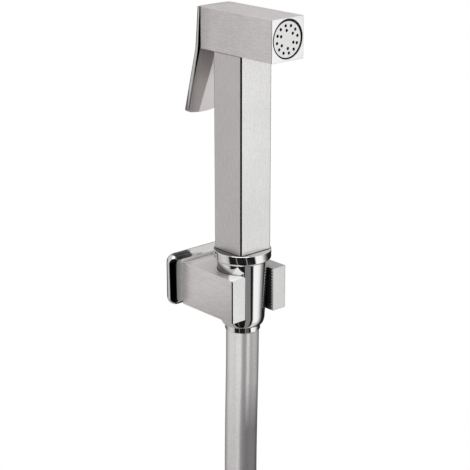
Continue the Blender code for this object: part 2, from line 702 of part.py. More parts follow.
def make_valve_spring():
    wire = SPRING_WIRE_RADIUS
    start_y = SPRAY_FACE_Y + SPRAY_THICKNESS + GAP + wire
    end_y = HEAD_FRONT_Y + disc_back() - DISC_THICKNESS - GAP - wire
    count = SPRING_TURNS * SPRING_POINTS_PER_TURN
    points = []
    for index in range(count + 1):
        angle = 2 * math.pi * index / SPRING_POINTS_PER_TURN
        x = SPRING_COIL_RADIUS * math.cos(angle)
        z = VALVE_Z + SPRING_COIL_RADIUS * math.sin(angle)
        points.append((x, start_y + (end_y - start_y) * index / count, z))
    tube("valve_spring", points, wire, "spring_steel")


def make_gland():
    start = SEAT_SHOULDER + INLET_LENGTH + GLAND_WALL
    ring = O_RING_THICKNESS
    ring_centre = STEM_RADIUS + GAP + ring / 2
    o_ring("stem_o_ring", ring_centre, (0.0, HEAD_FRONT_Y + start + GAP + ring / 2, VALVE_Z), FACING_FRONT)
    front = start + 2 * GAP + ring
    back = HEAD_LENGTH - GAP
    profile = ring_profile(GLAND_RADIUS, STEM_RADIUS + GAP, -front, -back)
    nut = turned("gland_nut", profile, (0.0, HEAD_FRONT_Y, VALVE_Z), FACING_FRONT, "brass", SMALL_STEPS)
    slot_depth = GLAND_SLOT_DEPTH + OVER
    slot_size = (2 * GLAND_RADIUS + 2 * OVER, slot_depth, GLAND_SLOT_WIDTH)
    slot_centre = (0.0, HEAD_FRONT_Y + back + OVER - slot_depth / 2, VALVE_Z)
    combine(nut, block("gland_slot", slot_size, slot_centre))


def o_ring(name, mean_radius, centre, rotation=(0.0, 0.0, 0.0)):
    thickness = O_RING_THICKNESS / 2
    profile = arc((mean_radius, 0.0), (thickness, thickness), 90, -270, 8)[:-1]
    turned(name, profile, centre, rotation, "black_rubber", SMALL_STEPS)


# Lever

def run_between(z, levels, values):
    """A value at a height, on straight runs through the values at falling levels."""
    for upper, lower, first, second in zip(levels, levels[1:], values, values[1:]):
        if z >= lower or lower == levels[-1]:
            return first + (second - first) * (upper - z) / (upper - lower)


def lever_levels():
    """Heights of the lever's top, bend and foot."""
    top_z = HEAD_TOP_Z - LEVER_TOP_DROP
    return top_z, HEAD_BOTTOM_Z, top_z - LEVER_LENGTH


def lever_inner_y(z):
    """Where the lever's inner face lies at a height: two straight runs with a round bend between."""
    levels = lever_levels()
    gaps = (LEVER_TOP_GAP, LEVER_BEND_GAP, LEVER_FOOT_GAP)
    upper_lean = (gaps[1] - gaps[0]) / (levels[0] - levels[1])
    lower_lean = (gaps[2] - gaps[1]) / (levels[1] - levels[2])
    into_bend = LEVER_BEND_RUN / 2 - abs(z - levels[1])
    rounding = (lower_lean - upper_lean) * max(0.0, into_bend) ** 2 / (2 * LEVER_BEND_RUN)
    return HEAD_BACK_Y + run_between(z, levels, gaps) + rounding


def lever_section(z):
    """The lever's cross-section at a height: flat inside with chamfered edges, crowned outside."""
    top_z, bend_z, foot_z = lever_levels()
    thickness = run_between(z, (top_z, bend_z, foot_z),
                            (LEVER_TOP_THICKNESS, LEVER_BEND_THICKNESS, LEVER_FOOT_THICKNESS))
    run_out = bend_z - LEVER_RELIEF_RUN
    relief = run_between(z, (top_z, bend_z, run_out, foot_z),
                         (LEVER_RELIEF_TOP, LEVER_RELIEF, LEVER_EDGE, LEVER_EDGE))
    inner = lever_inner_y(z)
    outer = inner + thickness
    crown = LEVER_CROWN * (z - foot_z) / LEVER_LENGTH
    half = HEAD_WIDTH / 2
    flat = half - relief
    section = [(-half, inner + relief), (-flat, inner), (flat, inner), (half, inner + relief)]
    for step in range(LEVER_CROWN_STEPS + 1):
        across = 1 - 2 * step / LEVER_CROWN_STEPS
        section.append((half * across, outer + crown * (1 - across ** 2)))
    return [(x, y - PIVOT_Y, z - PIVOT_Z) for x, y in section]


def make_lever():
    top_z, bend_z, foot_z = lever_levels()
    levels = [top_z]
    for step in range(LEVER_BEND_STEPS + 1):
        levels.append(bend_z + LEVER_BEND_RUN * (0.5 - step / LEVER_BEND_STEPS))
    levels += [bend_z - LEVER_RELIEF_RUN, foot_z]
    pivot = (0.0, PIVOT_Y, PIVOT_Z)
    lever = loft("trigger_lever", [lever_section(z) for z in levels], pivot, "satin_steel")

    # The face outline, seen from the wall: square top, round lower corners and a bowed lower edge
    half = HEAD_WIDTH / 2 + CLEAR
    top = top_z + OVER - PIVOT_Z
    foot = foot_z - PIVOT_Z
    side_foot = foot + LEVER_FOOT_BOW
    face = [
        (half, side_foot, LEVER_FOOT_CORNER), (half, top, 0.0), (-half, top, 0.0),
        (-half, side_foot, LEVER_FOOT_CORNER), (0.0, foot + CLEAR, LEVER_FOOT_BOW_RADIUS),
    ]
    face_shape = outline_solid("lever_face", [round_corners(face)], LEVER_FACE_DEPTH, pivot, PLAN_XZ)
    combine(lever, face_shape, "INTERSECT")

    lug_length = lever_inner_y(top_z) + LEVER_TOP_THICKNESS / 2 - PIVOT_Y
    round_end = LUG_RADIUS * ROUND_END
    lug = [
        (lug_length, -LUG_RADIUS, 0.0), (lug_length, LUG_RADIUS, 0.0),
        (-LUG_RADIUS, LUG_RADIUS, round_end), (-LUG_RADIUS, -LUG_RADIUS, round_end),
    ]
    combine(lever, outline_solid("lever_lug", [round_corners(lug, 8)], LUG_WIDTH, pivot, PLAN_YZ), "UNION")
    bore = PIN_RADIUS + RUNNING
    combine(lever, cylinder("lever_bore", bore, LUG_WIDTH + 2 * OVER, pivot, ALONG_X))


def make_lever_pin():
    centre = (HEAD_WIDTH / 2 - SEAM - PIN_LENGTH / 2, PIVOT_Y, PIVOT_Z)
    cylinder("lever_pin", PIN_RADIUS, PIN_LENGTH, centre, ALONG_X, "polished_steel", edge=PIN_EDGE)


# Handle, water pipe and collar

def make_handle():
    inner = HANDLE_WIDTH - 2 * HANDLE_WALL
    loops = [
        rectangle(HANDLE_WIDTH, HANDLE_WIDTH, HANDLE_EDGE),
        rectangle(inner, inner, HANDLE_EDGE),
    ]
    centre = (0.0, AXIS_Y, HANDLE_BOTTOM_Z + HANDLE_LENGTH / 2)
    outline_solid("handle_tube", loops, HANDLE_LENGTH, centre, material="satin_steel")


def make_water_pipe():
    top = HANDLE_TOP_Z + PIPE_IN_HEAD
    bottom = HANDLE_BOTTOM_Z - PIPE_IN_COLLAR
    groove = PIPE_RADIUS - PIPE_GROOVE_DEPTH
    upper, lower = top - PIPE_RING_INSET, bottom + PIPE_RING_INSET
    half = PIPE_GROOVE_WIDTH / 2
    profile = [(PIPE_RADIUS, top)]
    for middle in (upper, lower):
        profile += [
            (PIPE_RADIUS, middle + half), (groove, middle + half),
            (groove, middle - half), (PIPE_RADIUS, middle - half),
        ]
    profile += [(PIPE_RADIUS, bottom), (PIPE_BORE, bottom), (PIPE_BORE, top)]
    turned("water_pipe", profile, (0.0, AXIS_Y, 0.0), material="brass", steps=SMALL_STEPS)
    mean_radius = (groove + GAP) + O_RING_THICKNESS / 2
    o_ring("upper_o_ring", mean_radius, (0.0, AXIS_Y, upper))
    o_ring("lower_o_ring", mean_radius, (0.0, AXIS_Y, lower))


def make_collar():
    top = HANDLE_BOTTOM_Z - SEAM
    bottom = COLLAR_BOTTOM_Z
    nipple_end = bottom - THREAD_LENGTH
    edge = COLLAR_TOP_EDGE
    socket_bottom = HANDLE_BOTTOM_Z - PIPE_IN_COLLAR - GAP
    foot_width = COLLAR_RADIUS - COLLAR_FOOT_RADIUS
    foot_centre = (COLLAR_RADIUS - foot_width, bottom + COLLAR_FOOT_ROUND)
    profile = [(0.0, top), (COLLAR_RADIUS - edge, top), (COLLAR_RADIUS, top - edge)]
    profile += arc(foot_centre, (foot_width, COLLAR_FOOT_ROUND), 0, -90)
    profile += [
        (THREAD_RADIUS, bottom), (THREAD_RADIUS, nipple_end + GAP),
        (THREAD_RADIUS - GAP, nipple_end), (0.0, nipple_end),
    ]
    collar = turned("inlet_collar", profile, (0.0, AXIS_Y, 0.0), material="satin_steel")
    combine(collar, spigot("collar_spigot", top, 1), "UNION")
    spigot_top = top + SPIGOT_LENGTH + OVER
    bore = [
        (0.0, spigot_top), (PIPE_RADIUS + GAP, spigot_top), (PIPE_RADIUS + GAP, socket_bottom),
        (WATERWAY_RADIUS, socket_bottom), (WATERWAY_RADIUS, nipple_end - OVER), (0.0, nipple_end - OVER),
    ]
    combine(collar, turned("collar_bore", bore, (0.0, AXIS_Y, 0.0), steps=SMALL_STEPS))


def make_cone_nut():
    round_top = NUT_BOTTOM_Z + NUT_ROUND_LENGTH
    sleeve_bore = SLEEVE_RADIUS + GAP
    lip = sleeve_bore + NUT_LIP
    tail_hole = TAIL_RADIUS + GAP
    edge = NUT_EDGE
    profile = [
        (THREAD_BORE, NUT_TOP_Z), (NUT_TOP_RADIUS - edge, NUT_TOP_Z), (NUT_TOP_RADIUS, NUT_TOP_Z - edge),
    ]
    profile += arc((lip, round_top), (nut_radius(round_top) - lip, NUT_ROUND_LENGTH), 0, -90, 8)
    profile += [
        (sleeve_bore, NUT_BOTTOM_Z), (sleeve_bore, SHOULDER_BOTTOM_Z), (tail_hole, SHOULDER_BOTTOM_Z),
        (tail_hole, SHOULDER_TOP_Z), (THREAD_BORE, SHOULDER_TOP_Z),
    ]
    turned("cone_nut", profile, (0.0, AXIS_Y, 0.0), material="satin_steel")


# Hose ends: each one is built upwards from the hose's cut face

def make_hose_end(suffix, place, rotation):
    """Crimp sleeve, liner and tail at a hose end, with the rubber washer that lies on the tail."""
    web_bottom = SLEEVE_LENGTH - SLEEVE_WEB
    inner = SLEEVE_RADIUS - SLEEVE_WALL
    hole = TAIL_RADIUS + GAP
    edge = SLEEVE_EDGE
    sleeve = [
        (hole, SLEEVE_LENGTH), (SLEEVE_RADIUS - edge, SLEEVE_LENGTH), (SLEEVE_RADIUS, SLEEVE_LENGTH - edge),
        (SLEEVE_RADIUS, edge / 2), (SLEEVE_RADIUS - edge / 2, 0.0), (inner, 0.0), (inner, web_bottom),
        (hole, web_bottom),
    ]
    turned("crimp_sleeve_" + suffix, sleeve, place, rotation, "polished_steel")
    liner = ring_profile(inner - GAP, inner - GAP - LINER_WALL, web_bottom - GAP, 0.0)
    turned("hose_liner_" + suffix, liner, place, rotation, "hose_liner", SMALL_STEPS)
    flange_bottom = TAIL_LENGTH - FLANGE_THICKNESS
    tail = [
        (TAIL_BORE, TAIL_LENGTH), (WASHER_RADIUS, TAIL_LENGTH), (WASHER_RADIUS, flange_bottom),
        (TAIL_RADIUS, flange_bottom), (TAIL_RADIUS, 0.0), (TAIL_BORE, 0.0),
    ]
    turned("hose_tail_" + suffix, tail, place, rotation, "brass", SMALL_STEPS)
    washer_bottom = TAIL_LENGTH + GAP
    washer = ring_profile(WASHER_RADIUS, TAIL_BORE, washer_bottom + WASHER_THICKNESS, washer_bottom)
    turned("hose_washer_" + suffix, washer, place, rotation, "black_rubber", SMALL_STEPS)


def make_end_nut(place):
    """Loose hexagon nut on the hose's far end, with its mouth facing down."""
    shoulder_bottom = SLEEVE_LENGTH + GAP
    shoulder_top = shoulder_bottom + NUT_SHOULDER
    mouth = TAIL_LENGTH + 2 * GAP + WASHER_THICKNESS + END_NUT_THREAD
    length = mouth - shoulder_bottom
    bm = bmesh.new()
    corner_radius = END_NUT_FLATS / 2 / math.cos(math.pi / 6)
    radii = {"radius1": corner_radius, "radius2": corner_radius}
    bmesh.ops.create_cone(bm, cap_ends=True, segments=6, depth=length, **radii)
    bmesh.ops.translate(bm, vec=(0.0, 0.0, shoulder_bottom + length / 2), verts=bm.verts)
    nut = add_object("end_nut", mesh_from(bm, "end_nut"), place, POINTING_DOWN, "polished_steel")

    # Turning away the hexagon's corners at both ends
    far = corner_radius + OVER
    edge = END_NUT_EDGE
    chamfer = [
        (0.0, mouth + OVER), (END_NUT_FLATS / 2 - edge, mouth + OVER), (END_NUT_FLATS / 2 - edge, mouth),
        (far, mouth - (far - END_NUT_FLATS / 2 + edge) / 2),
        (far, shoulder_bottom + (far - END_NUT_FLATS / 2 + edge) / 2),
        (END_NUT_FLATS / 2 - edge, shoulder_bottom), (END_NUT_FLATS / 2 - edge, shoulder_bottom - OVER),
        (0.0, shoulder_bottom - OVER),
    ]
    combine(nut, turned("end_nut_chamfer", chamfer, place, POINTING_DOWN), "INTERSECT")
    tail_hole = TAIL_RADIUS + GAP
    bore = [
        (0.0, mouth + OVER), (THREAD_BORE, mouth + OVER), (THREAD_BORE, shoulder_top),
        (tail_hole, shoulder_top), (tail_hole, shoulder_bottom - OVER), (0.0, shoulder_bottom - OVER),
    ]
    combine(nut, turned("end_nut_bore", bore, place, POINTING_DOWN, steps=NUT_BORE_STEPS))


# Hose

def ring_contact(gap):
    """How far above or below the coil's centre a straight hose beside it comes clear of the coil."""
    outer = COIL_OUTER + gap
    near = -HOSE_RADIUS - COIL_CENTRE_X
    return math.sqrt(outer ** 2 - near ** 2)


def make_hose():
    end = (0.0, COIL_FRONT_Y, COIL_CENTRE_Z + ring_contact(GAP))
    tube("hose_tube", smooth_route(HOSE_ROUTE + (end,), ROUTE_STEPS), HOSE_RADIUS, "hose_silver", 3)
    start_z = COIL_CENTRE_Z - ring_contact(GAP)
    tail = [(0.0, COIL_BACK_Y, start_z), (0.0, COIL_BACK_Y, HOSE_END_Z)]
    tube("hose_end_run", tail, HOSE_RADIUS, "hose_silver", 3)


def coil_half_profile():
    """The coil's section on its outer side: a rounded lobe for each turn, with a groove between."""
    reach = 90 - COIL_GROOVE_ANGLE
    points = []
    for turn in range(COIL_TURNS):
        centre = (turn * COIL_PITCH, 0.0)
        start = 180 if turn == 0 else 90 + COIL_GROOVE_ANGLE
        end = 0 if turn == COIL_TURNS - 1 else reach
        points += arc(centre, (HOSE_RADIUS, HOSE_RADIUS), start, end, COIL_ARC_STEPS)
    return points


def make_coil():
    """Turned about an axis along Y. Heights run back towards the wall, so the profile is laid down."""
    outer = [(COIL_RADIUS + rise, -along) for along, rise in coil_half_profile()]
    inner = [(COIL_RADIUS - rise, -along) for along, rise in coil_half_profile()[-2:0:-1]]
    place = (COIL_CENTRE_X, COIL_FRONT_Y, COIL_CENTRE_Z)
    turned("hose_coil", outer + inner, place, FACING_FRONT, "hose_silver", COIL_STEPS)


def make_coil_tie():
    """A strap round all the turns at one place."""
    width = HOSE_DIAMETER + 2 * GAP
    length = (COIL_TURNS - 1) * COIL_PITCH + width
    wall = 2 * TIE_THICKNESS
    inner = rectangle(width, length, width / 2 * ROUND_END)
    outer = rectangle(width + wall, length + wall, (width + wall) / 2 * ROUND_END)
    middle_y = (COIL_FRONT_Y + COIL_BACK_Y) / 2
    x = COIL_CENTRE_X + COIL_RADIUS * math.cos(TIE_ANGLE)
    z = COIL_CENTRE_Z + COIL_RADIUS * math.sin(TIE_ANGLE)
    turn = (0.0, -TIE_ANGLE, 0.0)
    outline_solid("coil_tie", [outer, inner], TIE_WIDTH, (x, middle_y, z), turn, "black_rubber")


def main():
    clear_scene()
    make_materials()
    make_wall_plate()
    make_holder_arm()
    make_grub_screw()
    make_head()
    make_spray_plate()
    make_spray_gasket()
    make_valve_seat()
    make_valve_stem()
    make_valve_seal()
    make_valve_spring()
    make_gland()
    make_lever()
    make_lever_pin()
    make_handle()
    make_water_pipe()
    make_collar()
    make_cone_nut()
    make_hose_end("top", (0.0, AXIS_Y, HOSE_FACE_Z), (0.0, 0.0, 0.0))
    make_hose()
    make_coil()
    make_coil_tie()
    end_face = (0.0, COIL_BACK_Y, HOSE_END_Z - GAP)
    make_hose_end("end", end_face, POINTING_DOWN)
    make_end_nut(end_face)


main()
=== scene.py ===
"""Looks for the handheld bidet shower: camera, studio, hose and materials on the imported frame.

Metres, +Z up. The wall is the plane y = 0 and the spray faces -Y. The camera looks from the front
left, so -X lies to the left in the image.
"""
import math

import bmesh
import bpy
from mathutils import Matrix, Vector


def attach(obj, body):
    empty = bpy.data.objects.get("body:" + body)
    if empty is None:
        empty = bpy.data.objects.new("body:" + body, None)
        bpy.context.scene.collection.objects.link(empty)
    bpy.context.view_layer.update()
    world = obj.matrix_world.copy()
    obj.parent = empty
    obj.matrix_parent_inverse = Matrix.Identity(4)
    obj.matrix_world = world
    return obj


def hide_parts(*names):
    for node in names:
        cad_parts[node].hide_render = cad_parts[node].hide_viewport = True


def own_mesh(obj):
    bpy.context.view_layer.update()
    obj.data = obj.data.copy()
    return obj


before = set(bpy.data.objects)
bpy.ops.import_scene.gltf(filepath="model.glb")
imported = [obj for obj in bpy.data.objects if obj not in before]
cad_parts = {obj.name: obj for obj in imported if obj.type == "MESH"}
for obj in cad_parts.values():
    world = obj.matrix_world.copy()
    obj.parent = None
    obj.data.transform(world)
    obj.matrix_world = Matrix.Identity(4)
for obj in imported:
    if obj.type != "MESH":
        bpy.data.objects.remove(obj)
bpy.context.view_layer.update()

HOLDER = "handset_and_holder"  # the body that carries the hose and the spring

# Camera, fitted to the photograph
CAMERA_PLACE = (-0.46163, -0.54643, 0.25873)
CAMERA_TURN = (math.radians(71.35), 0.0, math.radians(-41.91))
CAMERA_LENS = 111.62
CAMERA_SENSOR = 36.0
CAMERA_SHIFT = (-0.01353, 0.00336)
CAMERA_CLIP = (0.05, 20.0)
TOWARDS_CAMERA = (-0.668, -0.744, 0.0)  # from the object, level
IMAGE_RIGHT = (0.744, -0.668, 0.0)

# Studio
STUDIO_RING = (  # what level metal sees, by degrees round from the camera towards the image's right
    (-180, 0.02), (-135, 0.03), (-124, 0.22), (-112, 0.46), (-98, 0.57), (-82, 0.66), (-66, 0.60),
    (-58, 0.48), (-53, 0.01), (-26, 0.01), (-23, 0.30), (-20, 0.01), (14, 0.01), (17, 0.36), (20, 0.01),
    (51, 0.01), (57, 1.0), (78, 0.97), (86, 0.88), (91, 0.74), (96, 0.52), (102, 0.33), (108, 0.22),
    (115, 0.05), (124, 0.015), (180, 0.02),
)
STUDIO_HORIZON = (0.02, 0.25)  # rise between the ring and the light overhead
STUDIO_OVERHEAD = 0.67
STUDIO_FOOT = (-0.50, -0.64)  # rise between which the ring gets darker
STUDIO_FOOT_LEVEL = 0.70
LOW_CARDS = ((14, 40, 0.22), (-179, -118, 0.45))  # degrees and level of the cards below the ring
LOW_CARD_RISE = (-0.345, -0.42)
LOW_CARD_SOFT = 1 / 360  # of a turn
MATT_LEVEL = 0.85  # what matt surfaces see all round
LAMP_PLACE = (-0.3, -0.2, 1.1)
LAMP_AIM = (0.0, -0.03, 0.0)
LAMP_SIZE = 0.9
LAMP_POWER = 3.0

# Floor
FLOOR_Z = -0.3034
FLOOR_RADIUS = 0.34
FLOOR_PLACE = (-0.10, -0.03)
FLOOR_SIDES = 96
FLOOR_TONES = (0.86, 0.90)
FLOOR_ROUGHNESS = (0.85, 0.95)

# Values that several materials share
NOISE_SPREAD = (0.3, 0.7)  # nearly all of a noise lies between these
BLACK = 0.01
SQUARE = 0.9  # cosine above which a surface counts as facing along an axis
FRONT_FACING = (-0.85, -0.97)  # part of the facing along Y that tells the front from other faces
POLISHED_TINT = (1.0, 0.985, 0.98)
POLISHED_TONE = 0.90
POLISHED_ROUGHNESS = 0.05
POLISHED_WIPES = 0.03  # how far wipe marks change tone and roughness
TURNED = (0.05, 0.05, 1.0)  # stretch of the lines that turning leaves round Z

# Brushed steel
SATIN_TINT = (1.0, 0.955, 0.945)
FRONT_TINT = (1.0, 0.99, 0.985)
SATIN_ROUGHNESS = (0.34, 0.43)
SATIN_METAL = 0.8
FRONT_SHARPER = 0.6
SATIN_GRAIN = 0.12
FRONT_GRAIN = 0.07
GRAIN = {"x": (0.16, 1.0, 1.0), "y": (1.0, 0.16, 1.0), "z": (1.0, 1.0, 0.16)}
FINE_SHARE = 0.6  # of the fine grain in the brushed look, beside its threads
CLOTH_SPREAD = (0.36, 0.64)
CLOUD_SPREAD = (0.7, 1.3)  # of the fine grain and the slow clouds together
SLOW_LEVELS = (0.965, 1.035)
SATIN_RELIEF = 0.3
FLAT_SOFT = 0.02
# rounds and edges that face the camera get a painted black reflection between these
DARK_REFLECTION_FACING = (0.78, 0.84)  # cosine of the angle from the camera's side
# painted light: the flats' tone is scaled between these, from the back to the front
PAINTED_FADE_REACH = (-0.014, -0.064)  # back and front of the head

# Head and spray plate
VALVE_Z = 0.129625
# painted shade, black and matt, in the recess round the spray plate
RECESS_SHADE_RADIUS = 0.00952
RECESS_OFF_X = -0.00002
RECESS_OFF_Z = 0.00026
RECESS_SHADE_Y = -0.0600
# painted shade on the head's sides, darker towards the back
HEAD_BACK_REACH = (-0.0220, -0.0137)
HEAD_BACK_SHADE = 0.80
SPRAY_RINGS = ((12, 0.00658, 9.6), (6, 0.00428, 35.6))  # holes, ring radius, first angle in degrees
# painted shade inside each spray hole, out to this radius
SPRAY_HOLE_SHADE_RADIUS = 0.00078
SPRAY_SPREAD = (0.35, 0.65)
SPRAY_TONES = (0.85, 0.93)
SPRAY_ROUGHNESS = (0.18, 0.26)

# Handle
# painted light on the handle's front, lighter upwards
HANDLE_FRONT_REACH = (0.030, 0.115)
HANDLE_FRONT_SHADES = (0.93, 1.04)

# Lever
LEVER_BACK = ((-0.0909, 0.00075), (-0.2577, 0.02090))  # slope and start of the outer face's two planes
# painted dark reflections along the edges of the lever's side faces
LEVER_LINE_HEIGHTS = (0.0870, 0.0990)
LEVER_LINE_WIDTHS = (0.0019, 0.0006)
LEVER_INNER_LINE = 0.0021
LEVER_OUTER_DARK_REFLECTION = 0.72
LEVER_INNER_DARK_REFLECTION = 0.60
LEVER_LINE_SOFT = 0.00015
PRESSED_FACING = (-0.90, -0.95)
PRESSED_TONES = (0.90, 1.0)
# painted shadow on the top of the lever's inner face
PRESSED_SHADOW_REACH = (0.1003, 0.1175)
PRESSED_SHADOW = 0.59
CREASE_REACH = (0.0865, 0.1110)  # heights between which the crease slants
CREASE_X = (-0.0031, 0.0006)
CREASE_SLOPE = 0.45

# Holder arm
ARM_TOP_Z = 0.0095
# painted shade on the arm's top: across it, between its back and the nut, and along its back
ARM_TOP_REACH = (-0.004, 0.010)  # from the left prong to the right one
ARM_TOP_SHADES = (0.88, 0.60)
ARM_TOP_MID_SHADE = 0.84  # the top is darker between its back and the nut
ARM_TOP_MID_SHADE_BACK = (-0.018, -0.011)
ARM_TOP_MID_SHADE_FRONT = (-0.036, -0.031)
ARM_BACK_LINE = -0.0078
ARM_BACK_SHADE = 0.35
# painted highlight, white and matt, on the front corner of the left prong's top
ARM_CORNER_HIGHLIGHT_REACH = (-0.0072, -0.0062)  # place across the image where the left prong's top turns bright
# painted shade on the arm's side, below a line that rises towards the back
ARM_SIDE_SLANT = 0.26  # rise towards the back of the line above which the side is light
ARM_SIDE_REACH = (-0.0227, -0.0067)
ARM_SIDE_LOW_SHADE = 0.71
# painted light on the left prong's front
LEFT_PRONG_LIGHT = 1.10  # how much lighter its front is than the right one's
# painted shade, black and matt, on the slot's walls beside the nut, giving way to light grey at their front
# edges
SLOT_SHADE_HALF = 0.0096
SLOT_WALL_FACING = 0.5
MARK_PITCH = 0.0016
MARK_CUT = 0.1  # a mark is where the wave along the wall is above this
MARKS_FROM_Y = -0.0441
MARKS_MEET_Y = -0.0449  # in front of this the wall is light
MARK_TONE = 0.60

# Wall plate
PLATE_METAL = 0.2
PLATE_FACING = (-0.93, -0.98)
# painted shade on the plate's front face beside the arm
PLATE_SHADE_REACH = (-0.0209, -0.0181)
PLATE_SHADE = (0.62, 0.35)
# painted dark reflection in streaks on the plate's rounded top
PLATE_REFLECTION_FACING = 0.25  # the patch is where the rounded top faces upwards by more than this
PLATE_REFLECTION_FROM_Y = -0.0020
PLATE_REFLECTION_START = (-0.0222, -0.0208)
PLATE_REFLECTION_END = (-0.0137, -0.0145)
PLATE_REFLECTION_RAGGED = -0.0060
PLATE_REFLECTION_DEPTHS = (1.0, 0.80)

# Collar and cone nut
# painted dark reflection on the collar's disc, on its left
DISC_REACH = (-0.001, 0.006)
DISC_DARK_REFLECTION = 0.28
# painted shade on the disc round the handle's foot
FOOT_Y = -0.0438  # behind this the disc is darker, beside and behind the handle's foot
FOOT_SHADE = 0.45
# painted dark reflection on the nut's left side above the holder
NUT_SHADE = (-0.72, -0.40)  # facing across the image
NUT_SHADED = 0.22
NUT_SHADE_Z = 0.0115  # height where the shade ends between those two facings
NUT_SHADE_SLOPE = 150.0  # how fast the shade draws back upwards

# Brass, rubber and lining
BRASS_COLOURS = ((0.78, 0.58, 0.27, 1.0), (0.56, 0.38, 0.17, 1.0))  # bright and dulled
BRASS_ROUGHNESS = (0.22, 0.42)
BRASS_DULL_SPREAD = (0.4, 0.65)
RUBBER_TONES = (0.022, 0.0572)  # clean and dusty
RUBBER_ROUGHNESS = (0.55, 0.75)
RUBBER_DUST_SPREAD = (0.55, 0.8)
LINING_COLOURS = ((0.74, 0.74, 0.70, 1.0), (0.82, 0.82, 0.79, 1.0))
LINING_ROUGHNESS = (0.42, 0.58)

# Hose
AXIS_Y = -0.0330  # of the handle, above the hose
HOSE_DIAMETER = 0.0168
HOSE_RADIUS = HOSE_DIAMETER / 2
HOSE_START_Z = -0.0233
HOSE_END_Z = -0.26666
HOSE_BEVEL_RESOLUTION = 14
HOSE_LENGTH_STEPS = 6  # between two points
HOSE_ORDER = 3
HOSE_TINT = (1.0, 0.962, 0.965)
HOSE_METAL = 0.1
HOSE_ROUGHNESS = (0.40, 0.50)
HOSE_WEAVE = 0.12
HATCH_PITCH = 0.0014
HATCH_DEPTH = 0.08
# painted light and shade, in bands along the hose on its side towards the camera
HOSE_SHADE_BANDS = (  # facing across the image, from -1 at the left to 1, and tone
    (-1.0, 0.12), (-0.96, 0.32), (-0.88, 0.56), (-0.78, 0.70), (-0.52, 0.72), (-0.46, 0.66), (-0.36, 0.78),
    (-0.16, 0.80), (-0.09, 0.76), (-0.03, 0.50), (0.04, 0.38), (0.15, 0.32), (0.21, 0.38), (0.28, 0.60),
    (0.34, 0.68), (0.39, 0.62), (0.45, 0.46), (0.52, 0.37), (0.60, 0.39), (0.72, 0.46), (0.86, 0.43),
    (0.95, 0.26), (1.0, 0.10),
)
HOSE_LOWER_SHADE_BANDS = (
    (-1.0, 0.12), (-0.96, 0.30), (-0.88, 0.52), (-0.78, 0.66), (-0.34, 0.66), (-0.22, 0.74), (-0.12, 0.62),
    (-0.02, 0.36), (0.10, 0.26), (0.30, 0.19), (0.50, 0.18), (0.86, 0.19), (0.95, 0.13), (1.0, 0.08),
)
HOSE_SHADE_BAND_HEIGHTS = (-0.050, -0.078)
HOSE_FAR_SIDE = (0.15, -0.15)  # facing towards the camera
HOSE_FAR_TONE = 0.50
HOSE_LEVELS = (1.03, 1.07)
# painted light, lighter towards the hose's top
HOSE_TOP_REACH = (-0.050, -0.025)
HOSE_TOP_LIGHT = 1.14

# Coil of stored hose
COIL_RADIUS = 0.1000
COIL_INNER_RADIUS = 0.0850  # where the middle strand passes inside its neighbours
COIL_CENTRE_X = -COIL_RADIUS
COIL_CENTRE_Z = -0.1940
COIL_FRONT_Y = -0.0324
COIL_BACK_Y = -0.0153
COIL_TURNS = 2
COIL_STEP = 5  # degrees, as are the next three
COIL_GOES_IN = (225, 325)
COIL_GOES_OUT = (395, 495)
COIL_GOES_BACK = (300, 420)
TAIL_STEPS = 5

# Smooth shading
WELD_DISTANCE = 0.000001
SHARP_ANGLE = 32.0


# Small tools


def smoothstep(value, low, high):
    t = min(1.0, max(0.0, (value - low) / (high - low)))
    return t * t * (3 - 2 * t)


def shade(value, warmth=(1.0, 1.0, 1.0)):
    return (value * warmth[0], value * warmth[1], value * warmth[2], 1.0)


def link(obj):
    bpy.context.scene.collection.objects.link(obj)
    return obj


class Nodes:
    """Builds the nodes of one tree."""

    def __init__(self, tree):
        self.tree = tree

    def set(self, socket, value):
        if isinstance(value, bpy.types.NodeSocket):
            self.tree.links.new(value, socket)
        else:
            socket.default_value = value

    def node(self, kind, inputs=None, **settings):
        made = self.tree.nodes.new(kind)
        for key, value in settings.items():
            setattr(made, key, value)
        for key, value in (inputs or {}).items():
            self.set(made.inputs[key], value)
        return made

    def maths(self, operation, a, b=0.0, c=0.0):
        return self.node("ShaderNodeMath", {0: a, 1: b, 2: c}, operation=operation).outputs[0]

    def times(self, first, *others):
        """Product of two or more values."""
        for other in others:
            first = self.maths("MULTIPLY", first, other)
        return first

    def rest(self, value):
        """What is left of 1."""
        return self.maths("SUBTRACT", 1.0, value)

    def ramp(self, value, low, high, to_low=0.0, to_high=1.0, kind="LINEAR"):
        inputs = {"Value": value, "From Min": low, "From Max": high, "To Min": to_low, "To Max": to_high}
        return self.node("ShaderNodeMapRange", inputs, interpolation_type=kind).outputs["Result"]

    def ease(self, value, low, high, to_low=0.0, to_high=1.0):
        """A ramp with soft ends."""
        return self.ramp(value, low, high, to_low, to_high, "SMOOTHSTEP")

    def between(self, mask, low, high):
        """One value where the mask is 0 and another where it is 1."""
        return self.ramp(mask, 0.0, 1.0, low, high)

    def along(self, vector, axis):
        """How far a vector reaches along an axis."""
        made = self.node("ShaderNodeVectorMath", {0: vector, 1: axis}, operation="DOT_PRODUCT")
        return made.outputs["Value"]

    def colours(self, value, stops):
        """A colour for each value from 0 to 1, given as pairs of a value and a colour."""
        made = self.node("ShaderNodeValToRGB", {"Fac": value})
        elements = made.color_ramp.elements
        while len(elements) < len(stops):
            elements.new(1.0)
        for element, (position, colour) in zip(elements, stops):
            element.position = position
            element.color = colour
        return made.outputs["Color"]


